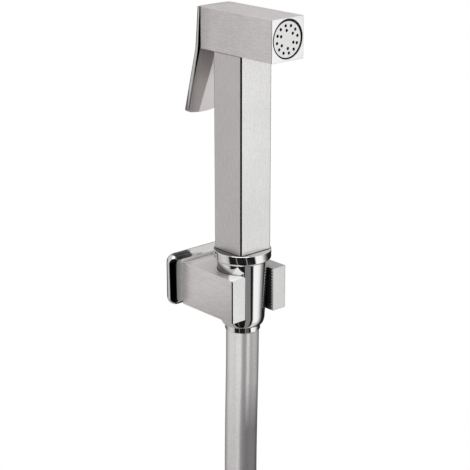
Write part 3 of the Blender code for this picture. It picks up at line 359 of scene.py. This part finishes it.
class Shader(Nodes):
    """Builds one material's nodes. Coordinates are the object's own, in metres."""

    def __init__(self, name):
        self.material = bpy.data.materials.new(name)
        self.material.use_nodes = True
        super().__init__(self.material.node_tree)
        coordinates = self.node("ShaderNodeTexCoord").outputs
        self.place = coordinates["Object"]
        self.facing = coordinates["Normal"]
        self.x, self.y, self.z = self.split(self.place)
        self.facing_x, self.facing_y, self.facing_z = self.split(self.facing)

    def split(self, vector):
        return self.node("ShaderNodeSeparateXYZ", {"Vector": vector}).outputs

    def length(self, a, b):
        return self.maths("SQRT", self.maths("ADD", self.maths("POWER", a, 2.0), self.maths("POWER", b, 2.0)))

    def scale(self, colour, factor):
        return self.node("ShaderNodeVectorMath", {0: colour, "Scale": factor}, operation="SCALE").outputs[0]

    def mix(self, factor, a, b):
        made = self.node("ShaderNodeMix", data_type="RGBA")
        for index, value in ((0, factor), (6, a), (7, b)):
            self.set(made.inputs[index], value)
        return made.outputs[2]

    def noise(self, cells, detail=3.0, roughness=0.55, stretch=(1.0, 1.0, 1.0), distortion=0.0):
        """Grain from 0 to 1, with the given number of cells in a metre."""
        mapped = self.node("ShaderNodeMapping", {"Vector": self.place, "Scale": stretch}).outputs[0]
        inputs = {"Vector": mapped, "Scale": cells, "Detail": detail, "Roughness": roughness,
                  "Distortion": distortion}
        return self.node("ShaderNodeTexNoise", inputs).outputs["Fac"]

    def spread(self, noise, low, high):
        """Stretch the usual values of a noise to a range."""
        return self.ramp(noise, *NOISE_SPREAD, low, high)

    def bump(self, height, distance, strength=1.0, normal=None):
        inputs = {"Height": height, "Distance": distance, "Strength": strength}
        if normal is not None:
            inputs["Normal"] = normal
        return self.node("ShaderNodeBump", inputs).outputs["Normal"]

    def flatness(self, low):
        """1 on faces square to the object's axes, 0 on rounds, slopes and edges."""
        parts = (self.facing_x, self.facing_y, self.facing_z)
        x, y, z = (self.maths("ABSOLUTE", part) for part in parts)
        return self.ramp(self.maths("MAXIMUM", x, self.maths("MAXIMUM", y, z)), low, low + FLAT_SOFT)

    def is_front(self):
        """1 on faces towards -Y, 0 on others."""
        return self.ramp(self.facing_y, *FRONT_FACING)

    def is_side(self, limit=SQUARE):
        """1 on faces towards -X or +X, 0 on others."""
        return self.maths("GREATER_THAN", self.maths("ABSOLUTE", self.facing_x), limit)

    def is_top(self):
        """1 on faces towards +Z, 0 on others."""
        return self.maths("GREATER_THAN", self.facing_z, SQUARE)

    def facing_across(self):
        """Which way the surface faces across the image, from -1 at the left to 1 at the right."""
        return self.along(self.facing, IMAGE_RIGHT)

    def facing_camera(self):
        """Which way the surface faces, from -1 for away from the camera to 1 for towards it."""
        return self.along(self.facing, TOWARDS_CAMERA)

    def place_across(self):
        """How far a place lies to the right of the handle's axis in the image, in metres."""
        off = self.node("ShaderNodeVectorMath", {0: self.place, 1: (0.0, AXIS_Y, 0.0)}, operation="SUBTRACT")
        return self.along(off.outputs[0], IMAGE_RIGHT)

    def finish(self, **values):
        surface = self.tree.nodes["Principled BSDF"]
        for key, value in values.items():
            self.set(surface.inputs[key.replace("_", " ")], value)
        return self.material


# Steel


def satin_steel(name, tone, front_tone, grain, painted_fade=1.0, trim=None, flat_from=0.975):
    """Brushed flats with polished rounds and edges, told apart by which way the surface faces.

    The grain runs along one axis. The flats get a painted light gradient from the back to the front,
    lighter or darker by the given factor. The front and the sides get tones of their own, which paint
    the light that falls on each, and rounds facing the camera get a painted black reflection. The trim
    adds what only one piece has.
    """
    s = Shader(name)
    fine = s.noise(cells=1500.0, detail=3.0, roughness=0.6)
    threads = s.noise(cells=1400.0, detail=2.0, roughness=0.6, stretch=GRAIN[grain])
    slow = s.noise(cells=55.0, detail=2.0)
    s.cloth = s.maths("ADD", s.times(fine, FINE_SHARE), s.times(threads, 1 - FINE_SHARE))
    front = s.is_front()
    grainy = s.between(front, SATIN_GRAIN, FRONT_GRAIN)
    level = s.times(s.ramp(s.cloth, *CLOTH_SPREAD, -1.0, 1.0), grainy)
    level = s.maths("ADD", level, s.spread(slow, *SLOW_LEVELS))
    # painted light gradient on the flats, from the back to the front
    level = s.times(level, s.ramp(s.y, *PAINTED_FADE_REACH, 1.0, painted_fade))
    # painted light: the front and the sides get tones of their own, for the light that falls on each
    plain = s.mix(front, shade(tone, SATIN_TINT), shade(front_tone, FRONT_TINT))
    flat = s.flatness(flat_from)
    # painted black reflection on rounds and edges that face the camera
    near = s.ramp(s.facing_camera(), *DARK_REFLECTION_FACING)
    polished = s.mix(near, shade(POLISHED_TONE, POLISHED_TINT), shade(BLACK))
    s.colour = s.mix(flat, polished, s.scale(plain, level))
    matt = s.ramp(s.maths("ADD", fine, slow), *CLOUD_SPREAD, *SATIN_ROUGHNESS)
    matt = s.times(matt, s.between(front, 1.0, FRONT_SHARPER))
    s.roughness = s.between(flat, POLISHED_ROUGHNESS, matt)
    s.metal = s.between(flat, 1.0, SATIN_METAL)
    s.normal = s.bump(s.cloth, distance=0.00002, strength=s.times(flat, SATIN_RELIEF))
    if trim:
        trim(s)
    return s.finish(Base_Color=s.colour, Roughness=s.roughness, Metallic=s.metal, Normal=s.normal)


def polished_steel(name, tone=POLISHED_TONE, rough=POLISHED_ROUGHNESS, trim=None):
    """Polished stainless with faint wipe marks and turning lines."""
    s = Shader(name)
    wipes = s.noise(cells=240.0, detail=3.0, roughness=0.6, stretch=(1.0, 1.0, 0.3), distortion=0.6)
    lines = s.noise(cells=1400.0, detail=2.0, roughness=0.5, stretch=TURNED)
    darker = shade(tone * (1 - POLISHED_WIPES), POLISHED_TINT)
    lighter = shade(tone * (1 + POLISHED_WIPES), POLISHED_TINT)
    s.colour = s.mix(wipes, darker, lighter)
    s.roughness = s.spread(wipes, rough, rough + POLISHED_WIPES)
    s.metal = 1.0
    s.normal = s.bump(lines, distance=0.000005, strength=0.1)
    if trim:
        trim(s)
    return s.finish(Base_Color=s.colour, Roughness=s.roughness, Metallic=s.metal, Normal=s.normal)


def spray_steel(name):
    """Satin spray plate, with painted shade inside its holes and on its rim."""
    s = Shader(name)
    fine = s.noise(cells=1800.0, detail=3.0, roughness=0.6)
    face = s.mix(s.ramp(fine, *SPRAY_SPREAD), *(shade(tone, FRONT_TINT) for tone in SPRAY_TONES))
    # painted shade: black and matt on walls that don't face the front, and inside each hole
    hollow_shade = s.maths("LESS_THAN", s.maths("ABSOLUTE", s.facing_y), SQUARE)
    up = s.maths("SUBTRACT", s.z, VALVE_Z)
    turn = s.maths("ARCTAN2", up, s.x)
    out = s.length(s.x, up)
    for count, ring_radius, first in SPRAY_RINGS:
        half = math.pi / count
        from_hole = s.maths("WRAP", s.maths("SUBTRACT", turn, math.radians(first)), half, -half)
        aside = s.times(out, s.maths("SINE", from_hole))
        beyond = s.maths("SUBTRACT", s.times(out, s.maths("COSINE", from_hole)), ring_radius)
        hollow_shade = s.maths("MAXIMUM", hollow_shade, s.maths("LESS_THAN", s.length(aside, beyond), SPRAY_HOLE_SHADE_RADIUS))
    colour = s.mix(hollow_shade, face, shade(BLACK))
    roughness = s.spread(fine, *SPRAY_ROUGHNESS)
    normal = s.bump(fine, distance=0.00001, strength=0.2)
    return s.finish(Base_Color=colour, Roughness=roughness, Metallic=s.rest(hollow_shade), Normal=normal)


# What only one piece of steel has, mostly painted light and shade


def blacken(s, where):
    """Paint shade: turn the surface black and matt where the mask is 1."""
    s.colour = s.mix(where, s.colour, shade(BLACK))
    s.metal = s.times(s.metal, s.rest(where))


def change_level(s, where, factor):
    """Paint light or shade: make the colour lighter or darker by a factor where the mask is 1."""
    s.colour = s.scale(s.colour, s.between(where, 1.0, factor))


def head_trim(s):
    """Painted shade in the recess round the spray plate, wider at the top, and painted shade on the sides,
    darker towards the back.
    """
    # painted shade in the recess round the spray plate
    off_x = s.maths("SUBTRACT", s.x, RECESS_OFF_X)
    off_z = s.maths("SUBTRACT", s.z, VALVE_Z + RECESS_OFF_Z)
    inside = s.maths("LESS_THAN", s.length(off_x, off_z), RECESS_SHADE_RADIUS)
    blacken(s, s.times(inside, s.maths("LESS_THAN", s.y, RECESS_SHADE_Y)))
    # painted shade on the sides, darker towards the back
    change_level(s, s.is_side(), s.ramp(s.y, *HEAD_BACK_REACH, 1.0, HEAD_BACK_SHADE))


def handle_trim(s):
    """Painted light: the front gets lighter upwards."""
    change_level(s, s.is_front(), s.ramp(s.z, *HANDLE_FRONT_REACH, *HANDLE_FRONT_SHADES))


def lever_trim(s):
    """Painted dark reflections along the sides' edges, a pressed inner face with a crease, and its painted
    top shadow.
    """
    high, low = (s.maths("MULTIPLY_ADD", s.z, slope, start) for slope, start in LEVER_BACK)
    depth = s.maths("SUBTRACT", s.maths("MAXIMUM", high, low), s.y)
    reach = s.ramp(s.z, *LEVER_LINE_HEIGHTS, *LEVER_LINE_WIDTHS)
    outer = s.ramp(s.maths("SUBTRACT", depth, reach), LEVER_LINE_SOFT, -LEVER_LINE_SOFT)
    inner = s.ramp(s.maths("SUBTRACT", depth, LEVER_INNER_LINE), -LEVER_LINE_SOFT, LEVER_LINE_SOFT)
    # painted dark reflections along the side faces' edges
    dark = s.maths("MAXIMUM", s.times(outer, LEVER_OUTER_DARK_REFLECTION), s.times(inner, LEVER_INNER_DARK_REFLECTION))
    change_level(s, s.is_side(), s.rest(dark))
    pressed = s.ramp(s.facing_y, *PRESSED_FACING)
    s.metal = s.maths("MAXIMUM", s.metal, pressed)
    inner_face = s.mix(s.cloth, *(shade(tone, SATIN_TINT) for tone in PRESSED_TONES))
    # painted shadow on the top of the inner face
    inner_face = s.scale(inner_face, s.ramp(s.z, *PRESSED_SHADOW_REACH, 1.0, PRESSED_SHADOW))
    s.colour = s.mix(pressed, s.colour, inner_face)
    start_x = s.ramp(s.z, *CREASE_REACH, *CREASE_X)
    drop = s.maths("MINIMUM", s.maths("SUBTRACT", s.x, start_x), 0.0)
    s.normal = s.bump(s.times(drop, pressed, CREASE_SLOPE), distance=1.0, normal=s.normal)


def holder_trim(s):
    """The slot's walls, with painted shade beside the nut and light tool marks at their front edges.

    The top and the side get painted shade towards places that see less light, the left prong's front
    gets painted light, and the front corner of its top a painted highlight.
    """
    # painted shade on the slot's walls beside the nut
    within = s.maths("LESS_THAN", s.maths("ABSOLUTE", s.x), SLOT_SHADE_HALF)
    wall = s.times(within, s.is_side(SLOT_WALL_FACING))
    wave = s.maths("SINE", s.times(s.z, 2 * math.pi / MARK_PITCH))
    marks = s.times(s.maths("GREATER_THAN", wave, MARK_CUT), s.maths("LESS_THAN", s.y, MARKS_FROM_Y))
    marks = s.maths("MAXIMUM", marks, s.maths("LESS_THAN", s.y, MARKS_MEET_Y))
    blacken(s, wall)
    s.colour = s.mix(s.times(wall, marks), s.colour, shade(MARK_TONE))

    # painted shade on the top
    top = s.is_top()
    back = s.maths("GREATER_THAN", s.y, ARM_BACK_LINE)
    mid_shade_back = s.ramp(s.y, *ARM_TOP_MID_SHADE_BACK, ARM_TOP_MID_SHADE, 1.0)
    mid_shade_front = s.ramp(s.y, *ARM_TOP_MID_SHADE_FRONT, 1.0, ARM_TOP_MID_SHADE)
    across = s.ramp(s.x, *ARM_TOP_REACH, *ARM_TOP_SHADES)
    behind = s.between(back, 1.0, ARM_BACK_SHADE)
    change_level(s, top, s.times(across, behind, s.maths("MAXIMUM", mid_shade_back, mid_shade_front)))

    left = s.maths("LESS_THAN", s.x, 0.0)
    # painted highlight on the front corner of the left prong's top
    corner = s.times(top, left, s.ramp(s.place_across(), *ARM_CORNER_HIGHLIGHT_REACH))
    s.colour = s.mix(corner, s.colour, shade(1.0))
    s.metal = s.times(s.metal, s.rest(corner))

    # painted shade low on the side, and painted light on the left prong's front
    height = s.maths("MULTIPLY_ADD", s.y, ARM_SIDE_SLANT, s.z)
    change_level(s, s.is_side(), s.ramp(height, *ARM_SIDE_REACH, ARM_SIDE_LOW_SHADE, 1.0))
    change_level(s, s.times(s.is_front(), left), LEFT_PRONG_LIGHT)


def plate_trim(s):
    """The narrow front face beside the arm, which is matt and has painted shade, and a streaky painted dark
    reflection on the rounded top.
    """
    front = s.ramp(s.facing_y, *PLATE_FACING)
    s.metal = s.times(s.metal, s.between(front, 1.0, PLATE_METAL))
    # painted shade on the front face beside the arm
    beside = s.maths("LESS_THAN", s.x, PLATE_SHADE_REACH[1])
    front_shade = s.times(s.ramp(s.x, *PLATE_SHADE_REACH, *PLATE_SHADE), front, beside)
    s.colour = s.scale(s.colour, s.rest(front_shade))
    # painted dark reflection in streaks on the rounded top
    streaks = s.noise(cells=1500.0, detail=2.0, roughness=0.6, stretch=(0.15, 1.0, 1.0))
    ragged = s.maths("MULTIPLY_ADD", streaks, PLATE_REFLECTION_RAGGED, s.x)
    along = s.times(s.ramp(ragged, *PLATE_REFLECTION_END), s.ramp(s.x, *PLATE_REFLECTION_START))
    rounded = s.maths("GREATER_THAN", s.facing_z, PLATE_REFLECTION_FACING)
    upper = s.times(rounded, s.maths("LESS_THAN", s.y, PLATE_REFLECTION_FROM_Y))
    s.colour = s.scale(s.colour, s.rest(s.times(along, upper, s.spread(streaks, *PLATE_REFLECTION_DEPTHS))))


def collar_trim(s):
    """Painted reflection of the handle's dark side on the disc's left, and painted shade round the handle's
    foot.
    """
    # painted dark reflection on the disc's left, and painted shade round the handle's foot
    shaded = s.ramp(s.place_across(), *DISC_REACH, DISC_DARK_REFLECTION, 1.0)
    beside = s.maths("GREATER_THAN", s.y, FOOT_Y)
    change_level(s, s.is_top(), s.times(shaded, s.between(beside, 1.0, FOOT_SHADE)))


def nut_trim(s):
    """Painted dark reflection on the nut's left side above the holder, where it sees the holder's dark back.
    """
    # painted dark reflection on the nut's left side
    above = s.maths("SUBTRACT", s.z, NUT_SHADE_Z)
    slanted = s.maths("MULTIPLY_ADD", above, NUT_SHADE_SLOPE, s.facing_across())
    below = s.maths("LESS_THAN", s.z, ARM_TOP_Z)
    change_level(s, s.rest(below), s.ramp(slanted, *NUT_SHADE, NUT_SHADED, 1.0))


# Other materials


def brass(name):
    """Turned brass, dulled in patches."""
    s = Shader(name)
    lines = s.noise(cells=1700.0, detail=2.0, roughness=0.5, stretch=TURNED)
    dull = s.ramp(s.noise(cells=160.0), *BRASS_DULL_SPREAD)
    colour = s.mix(dull, *BRASS_COLOURS)
    roughness = s.between(dull, *BRASS_ROUGHNESS)
    normal = s.bump(lines, distance=0.00002, strength=0.3)
    return s.finish(Base_Color=colour, Roughness=roughness, Metallic=1.0, Normal=normal)


def rubber(name):
    """Black moulded rubber with a fine matt grain and a little dust."""
    s = Shader(name)
    grain = s.noise(cells=3000.0, detail=3.0, roughness=0.7)
    dust = s.ramp(s.noise(cells=420.0, detail=4.0, roughness=0.65), *RUBBER_DUST_SPREAD)
    colour = s.mix(dust, *(shade(tone) for tone in RUBBER_TONES))
    roughness = s.spread(grain, *RUBBER_ROUGHNESS)
    normal = s.bump(grain, distance=0.00003, strength=0.5)
    return s.finish(Base_Color=colour, Roughness=roughness, Normal=normal)


def liner_plastic(name):
    """Milky hose lining."""
    s = Shader(name)
    cloud = s.noise(cells=300.0)
    colour = s.mix(cloud, *LINING_COLOURS)
    normal = s.bump(s.noise(cells=1800.0), distance=0.00002, strength=0.3)
    return s.finish(Base_Color=colour, Roughness=s.spread(cloud, *LINING_ROUGHNESS), Normal=normal)


def hose_silver(name):
    """Silver hose: a fine weave under a clear skin, with soft painted bands of light and shade along it, and
    painted light at its top.
    """
    s = Shader(name)
    weave = s.noise(cells=1500.0, detail=2.0, roughness=0.7, stretch=(1.0, 1.0, 0.7))
    slow = s.noise(cells=70.0)
    across = s.ramp(s.facing_across(), -1.0, 1.0)
    # painted light and shade in bands along the hose
    bands, lower = (
        s.colours(across, [((facing + 1) / 2, shade(tone, HOSE_TINT)) for facing, tone in stops])
        for stops in (HOSE_SHADE_BANDS, HOSE_LOWER_SHADE_BANDS)
    )
    bands = s.mix(s.ramp(s.z, *HOSE_SHADE_BAND_HEIGHTS), bands, lower)
    bands = s.mix(s.ramp(s.facing_camera(), *HOSE_FAR_SIDE), bands, shade(HOSE_FAR_TONE, HOSE_TINT))
    level = s.maths("MULTIPLY_ADD", s.spread(weave, -1.0, 1.0), HOSE_WEAVE, 1.0)
    sideways = s.maths("SUBTRACT", s.x, s.y)
    for way in (-1.0, 1.0):
        slant = s.maths("MULTIPLY_ADD", s.z, way, sideways)
        hatch = s.maths("SINE", s.times(slant, 2 * math.pi / HATCH_PITCH))
        level = s.maths("MULTIPLY_ADD", hatch, HATCH_DEPTH, level)
    level = s.times(level, s.spread(slow, *HOSE_LEVELS))
    # painted light, lighter towards the hose's top
    level = s.times(level, s.ramp(s.z, *HOSE_TOP_REACH, 1.0, HOSE_TOP_LIGHT))
    colour = s.scale(bands, level)
    roughness = s.spread(slow, *HOSE_ROUGHNESS)
    normal = s.bump(weave, distance=0.00002, strength=0.4)
    return s.finish(Base_Color=colour, Roughness=roughness, Metallic=HOSE_METAL, Normal=normal)


def make_materials():
    return {
        "head": satin_steel("head", tone=0.72, front_tone=0.98, grain="y", painted_fade=1.12, trim=head_trim),
        "handle": satin_steel("handle", tone=0.69, front_tone=0.85, grain="z", trim=handle_trim),
        "lever": satin_steel("lever", tone=0.74, front_tone=0.74, grain="z", trim=lever_trim, flat_from=0.93),
        "holder": satin_steel("holder", tone=0.91, front_tone=0.82, grain="y", painted_fade=0.86, trim=holder_trim),
        "plate": satin_steel("plate", tone=0.80, front_tone=0.80, grain="x", trim=plate_trim),
        "spray": spray_steel("spray"),
        "polished": polished_steel("polished"),
        "collar": polished_steel("collar", trim=collar_trim),
        "nut": polished_steel("nut", trim=nut_trim),
        "spring": polished_steel("spring", tone=0.50, rough=0.20),
        "brass": brass("brass"),
        "rubber": rubber("rubber"),
        "liner": liner_plastic("liner"),
        "hose": hose_silver("hose"),
    }


NODE_MATERIALS = {
    "head": ("head_housing",),
    "handle": ("handle_tube",),
    "lever": ("trigger_lever",),
    "holder": ("holder_arm",),
    "plate": ("wall_plate",),
    "spray": ("spray_plate",),
    "polished": ("lever_pin", "grub_screw", "end_nut", "crimp_sleeve_top", "crimp_sleeve_end"),
    "nut": ("cone_nut",),
    "collar": ("inlet_collar",),
    "spring": ("valve_spring",),
    "brass": ("valve_seat", "valve_stem", "gland_nut", "water_pipe", "hose_tail_top", "hose_tail_end"),
    "rubber": ("spray_gasket", "valve_seal", "stem_o_ring", "upper_o_ring", "lower_o_ring",
               "hose_washer_top", "hose_washer_end", "coil_tie"),
    "liner": ("hose_liner_top", "hose_liner_end"),
}


def dress_nodes(materials):
    """Give every carried-over CAD node its detailed material."""
    for key, names in NODE_MATERIALS.items():
        for name in names:
            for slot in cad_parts[name].material_slots:
                slot.material = materials[key]


# Smooth shading on the frame's own meshes, whose shapes stay as they are


def smoothing_group():
    """Node group that welds split corners and smooths the shading across every shallow edge."""
    group = bpy.data.node_groups.new("smooth_by_angle", "GeometryNodeTree")
    for way in ("INPUT", "OUTPUT"):
        group.interface.new_socket("Geometry", in_out=way, socket_type="NodeSocketGeometry")
    n = Nodes(group)
    start = n.node("NodeGroupInput").outputs[0]
    weld = n.node("GeometryNodeMergeByDistance", {"Geometry": start, "Distance": WELD_DISTANCE}).outputs[0]
    plain = n.node("GeometryNodeRemoveAttribute", {"Geometry": weld, "Name": "custom_normal"}).outputs[0]
    faces = n.node("GeometryNodeSetShadeSmooth", {"Geometry": plain}, domain="FACE").outputs[0]
    angle = n.node("GeometryNodeInputMeshEdgeAngle").outputs["Unsigned Angle"]
    limits = {"A": angle, "B": math.radians(SHARP_ANGLE)}
    shallow = n.node("FunctionNodeCompare", limits, operation="LESS_THAN").outputs["Result"]
    edges = n.node("GeometryNodeSetShadeSmooth", {"Geometry": faces, "Shade Smooth": shallow}, domain="EDGE")
    n.node("NodeGroupOutput", {0: edges.outputs[0]})
    return group


def smooth(obj, group):
    obj.modifiers.new("smooth_by_angle", "NODES").node_group = group
    weighted = obj.modifiers.new("weighted_normals", "WEIGHTED_NORMAL")
    weighted.keep_sharp = True


# Hose


def hose_points():
    """The hose's centreline: the drop, the turns of the stored coil and the tail."""
    start_z = HOSE_START_Z
    drop = [
        (0.0, AXIS_Y, start_z),
        (0.0, AXIS_Y + 0.0001, start_z - 0.010),
        (0.0, AXIS_Y + 0.0002, start_z - 0.020),
        (0.0, AXIS_Y + 0.0006, start_z - 0.035),
        (0.0, AXIS_Y + 0.0010, start_z - 0.050),
        (0.0, AXIS_Y + 0.0013, start_z - 0.065),
        (0.0, AXIS_Y + 0.0015, start_z - 0.080),
        (0.0, AXIS_Y + 0.0014, start_z - 0.093),
        (0.0, AXIS_Y + 0.0012, start_z - 0.106),
        (0.0, AXIS_Y + 0.0008, start_z - 0.122),
        (0.0, COIL_FRONT_Y, start_z - 0.138),
        (0.0, COIL_FRONT_Y, start_z - 0.154),
    ]
    coil = []
    for degrees in range(0, 360 * COIL_TURNS + COIL_STEP, COIL_STEP):
        inward = smoothstep(degrees, *COIL_GOES_IN) - smoothstep(degrees, *COIL_GOES_OUT)
        radius = COIL_RADIUS + (COIL_INNER_RADIUS - COIL_RADIUS) * inward
        back = smoothstep(degrees, *COIL_GOES_BACK)
        angle = math.radians(-degrees)
        coil.append((
            COIL_CENTRE_X + radius * math.cos(angle),
            COIL_FRONT_Y + (COIL_BACK_Y - COIL_FRONT_Y) * back,
            COIL_CENTRE_Z + radius * math.sin(angle),
        ))
    tail = []
    for step in range(1, TAIL_STEPS + 1):
        z = COIL_CENTRE_Z + (HOSE_END_Z - COIL_CENTRE_Z) * step / TAIL_STEPS
        tail.append((0.0, COIL_BACK_Y, z))
    return drop + coil + tail


def make_hose(materials):
    curve = bpy.data.curves.new("hose", "CURVE")
    curve.dimensions = "3D"
    curve.bevel_depth = HOSE_RADIUS
    curve.bevel_resolution = HOSE_BEVEL_RESOLUTION
    curve.use_fill_caps = True
    curve.resolution_u = HOSE_LENGTH_STEPS
    points = hose_points()
    spline = curve.splines.new("NURBS")
    spline.points.add(len(points) - 1)
    for point, place in zip(spline.points, points):
        point.co = (*place, 1.0)
    spline.order_u = HOSE_ORDER
    spline.use_endpoint_u = True
    curve.materials.append(materials["hose"])
    hose = link(bpy.data.objects.new("hose", curve))
    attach(hose, HOLDER)
    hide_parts("hose_tube", "hose_coil", "hose_end_run")
    return hose, points


# Valve spring


def make_spring(materials, group):
    """The spring again, as a separate piece with its own mesh, carried by the holder's body."""
    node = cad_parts["valve_spring"]
    spring = link(bpy.data.objects.new("closing_spring", node.data.copy()))
    spring.data.materials.clear()
    spring.data.materials.append(materials["spring"])
    smooth(spring, group)
    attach(spring, HOLDER)
    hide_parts("valve_spring")
    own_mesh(spring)


# Camera, studio and floor


def make_camera():
    data = bpy.data.cameras.new("camera")
    data.lens = CAMERA_LENS
    data.sensor_width = CAMERA_SENSOR
    data.shift_x, data.shift_y = CAMERA_SHIFT
    data.clip_start, data.clip_end = CAMERA_CLIP
    camera = link(bpy.data.objects.new("camera", data))
    camera.location = CAMERA_PLACE
    camera.rotation_euler = CAMERA_TURN
    bpy.context.scene.camera = camera


def make_world():
    """White to the camera, plain light to matt surfaces, and a studio of bright and dark cards to metal."""
    world = bpy.data.worlds.new("studio")
    bpy.context.scene.world = world
    world.use_nodes = True
    world.node_tree.nodes.clear()
    n = Nodes(world.node_tree)
    direction = n.node("ShaderNodeTexCoord").outputs["Generated"]
    right, near = n.along(direction, IMAGE_RIGHT), n.along(direction, TOWARDS_CAMERA)
    rise = n.along(direction, (0.0, 0.0, 1.0))
    turn = n.maths("DIVIDE", n.maths("ARCTAN2", right, near), 2 * math.pi)
    stops = [(degrees / 360 + 0.5, shade(level)) for degrees, level in STUDIO_RING]
    ring = n.colours(n.maths("ADD", turn, 0.5), stops)
    ring = n.times(ring, n.ease(rise, *STUDIO_FOOT, 1.0, STUDIO_FOOT_LEVEL))
    low = n.ease(rise, *LOW_CARD_RISE)
    for first, last, strength in LOW_CARDS:
        from_first = n.ease(turn, first / 360 - LOW_CARD_SOFT, first / 360 + LOW_CARD_SOFT)
        to_last = n.ease(turn, last / 360 + LOW_CARD_SOFT, last / 360 - LOW_CARD_SOFT, 0.0, strength)
        ring = n.maths("MAXIMUM", ring, n.times(low, from_first, to_last))
    studio = n.between(n.ease(rise, *STUDIO_HORIZON), ring, STUDIO_OVERHEAD)
    rays = n.node("ShaderNodeLightPath").outputs
    shiny = n.maths("MAXIMUM", rays["Is Glossy Ray"], rays["Is Transmission Ray"])
    seen = n.between(rays["Is Camera Ray"], n.between(shiny, MATT_LEVEL, studio), 1.0)
    background = n.node("ShaderNodeBackground", {"Color": shade(1.0), "Strength": seen})
    n.node("ShaderNodeOutputWorld", {"Surface": background.outputs[0]})


def make_floor():
    s = Shader("floor")
    grain = s.noise(cells=90.0, detail=4.0)
    colour = s.mix(grain, *(shade(tone) for tone in FLOOR_TONES))
    normal = s.bump(grain, distance=0.0003, strength=0.2)
    material = s.finish(Base_Color=colour, Roughness=s.spread(grain, *FLOOR_ROUGHNESS), Normal=normal)
    bm = bmesh.new()
    bmesh.ops.create_circle(bm, cap_ends=True, segments=FLOOR_SIDES, radius=FLOOR_RADIUS)
    mesh = bpy.data.meshes.new("floor")
    bm.to_mesh(mesh)
    bm.free()
    mesh.materials.append(material)
    floor = link(bpy.data.objects.new("floor", mesh))
    floor.location = (*FLOOR_PLACE, FLOOR_Z)
    floor.visible_glossy = False


def make_lamp():
    data = bpy.data.lights.new("soft_top", "AREA")
    data.size = LAMP_SIZE
    data.energy = LAMP_POWER
    lamp = link(bpy.data.objects.new("soft_top", data))
    lamp.location = LAMP_PLACE
    lamp.rotation_euler = (Vector(LAMP_AIM) - Vector(LAMP_PLACE)).to_track_quat("-Z", "Y").to_euler()


def main():
    bpy.context.scene.view_settings.view_transform = "Standard"
    make_camera()
    make_world()
    make_floor()
    make_lamp()
    materials = make_materials()
    dress_nodes(materials)
    group = smoothing_group()
    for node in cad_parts.values():
        smooth(node, group)
    make_spring(materials, group)
    hose, points = make_hose(materials)


main()
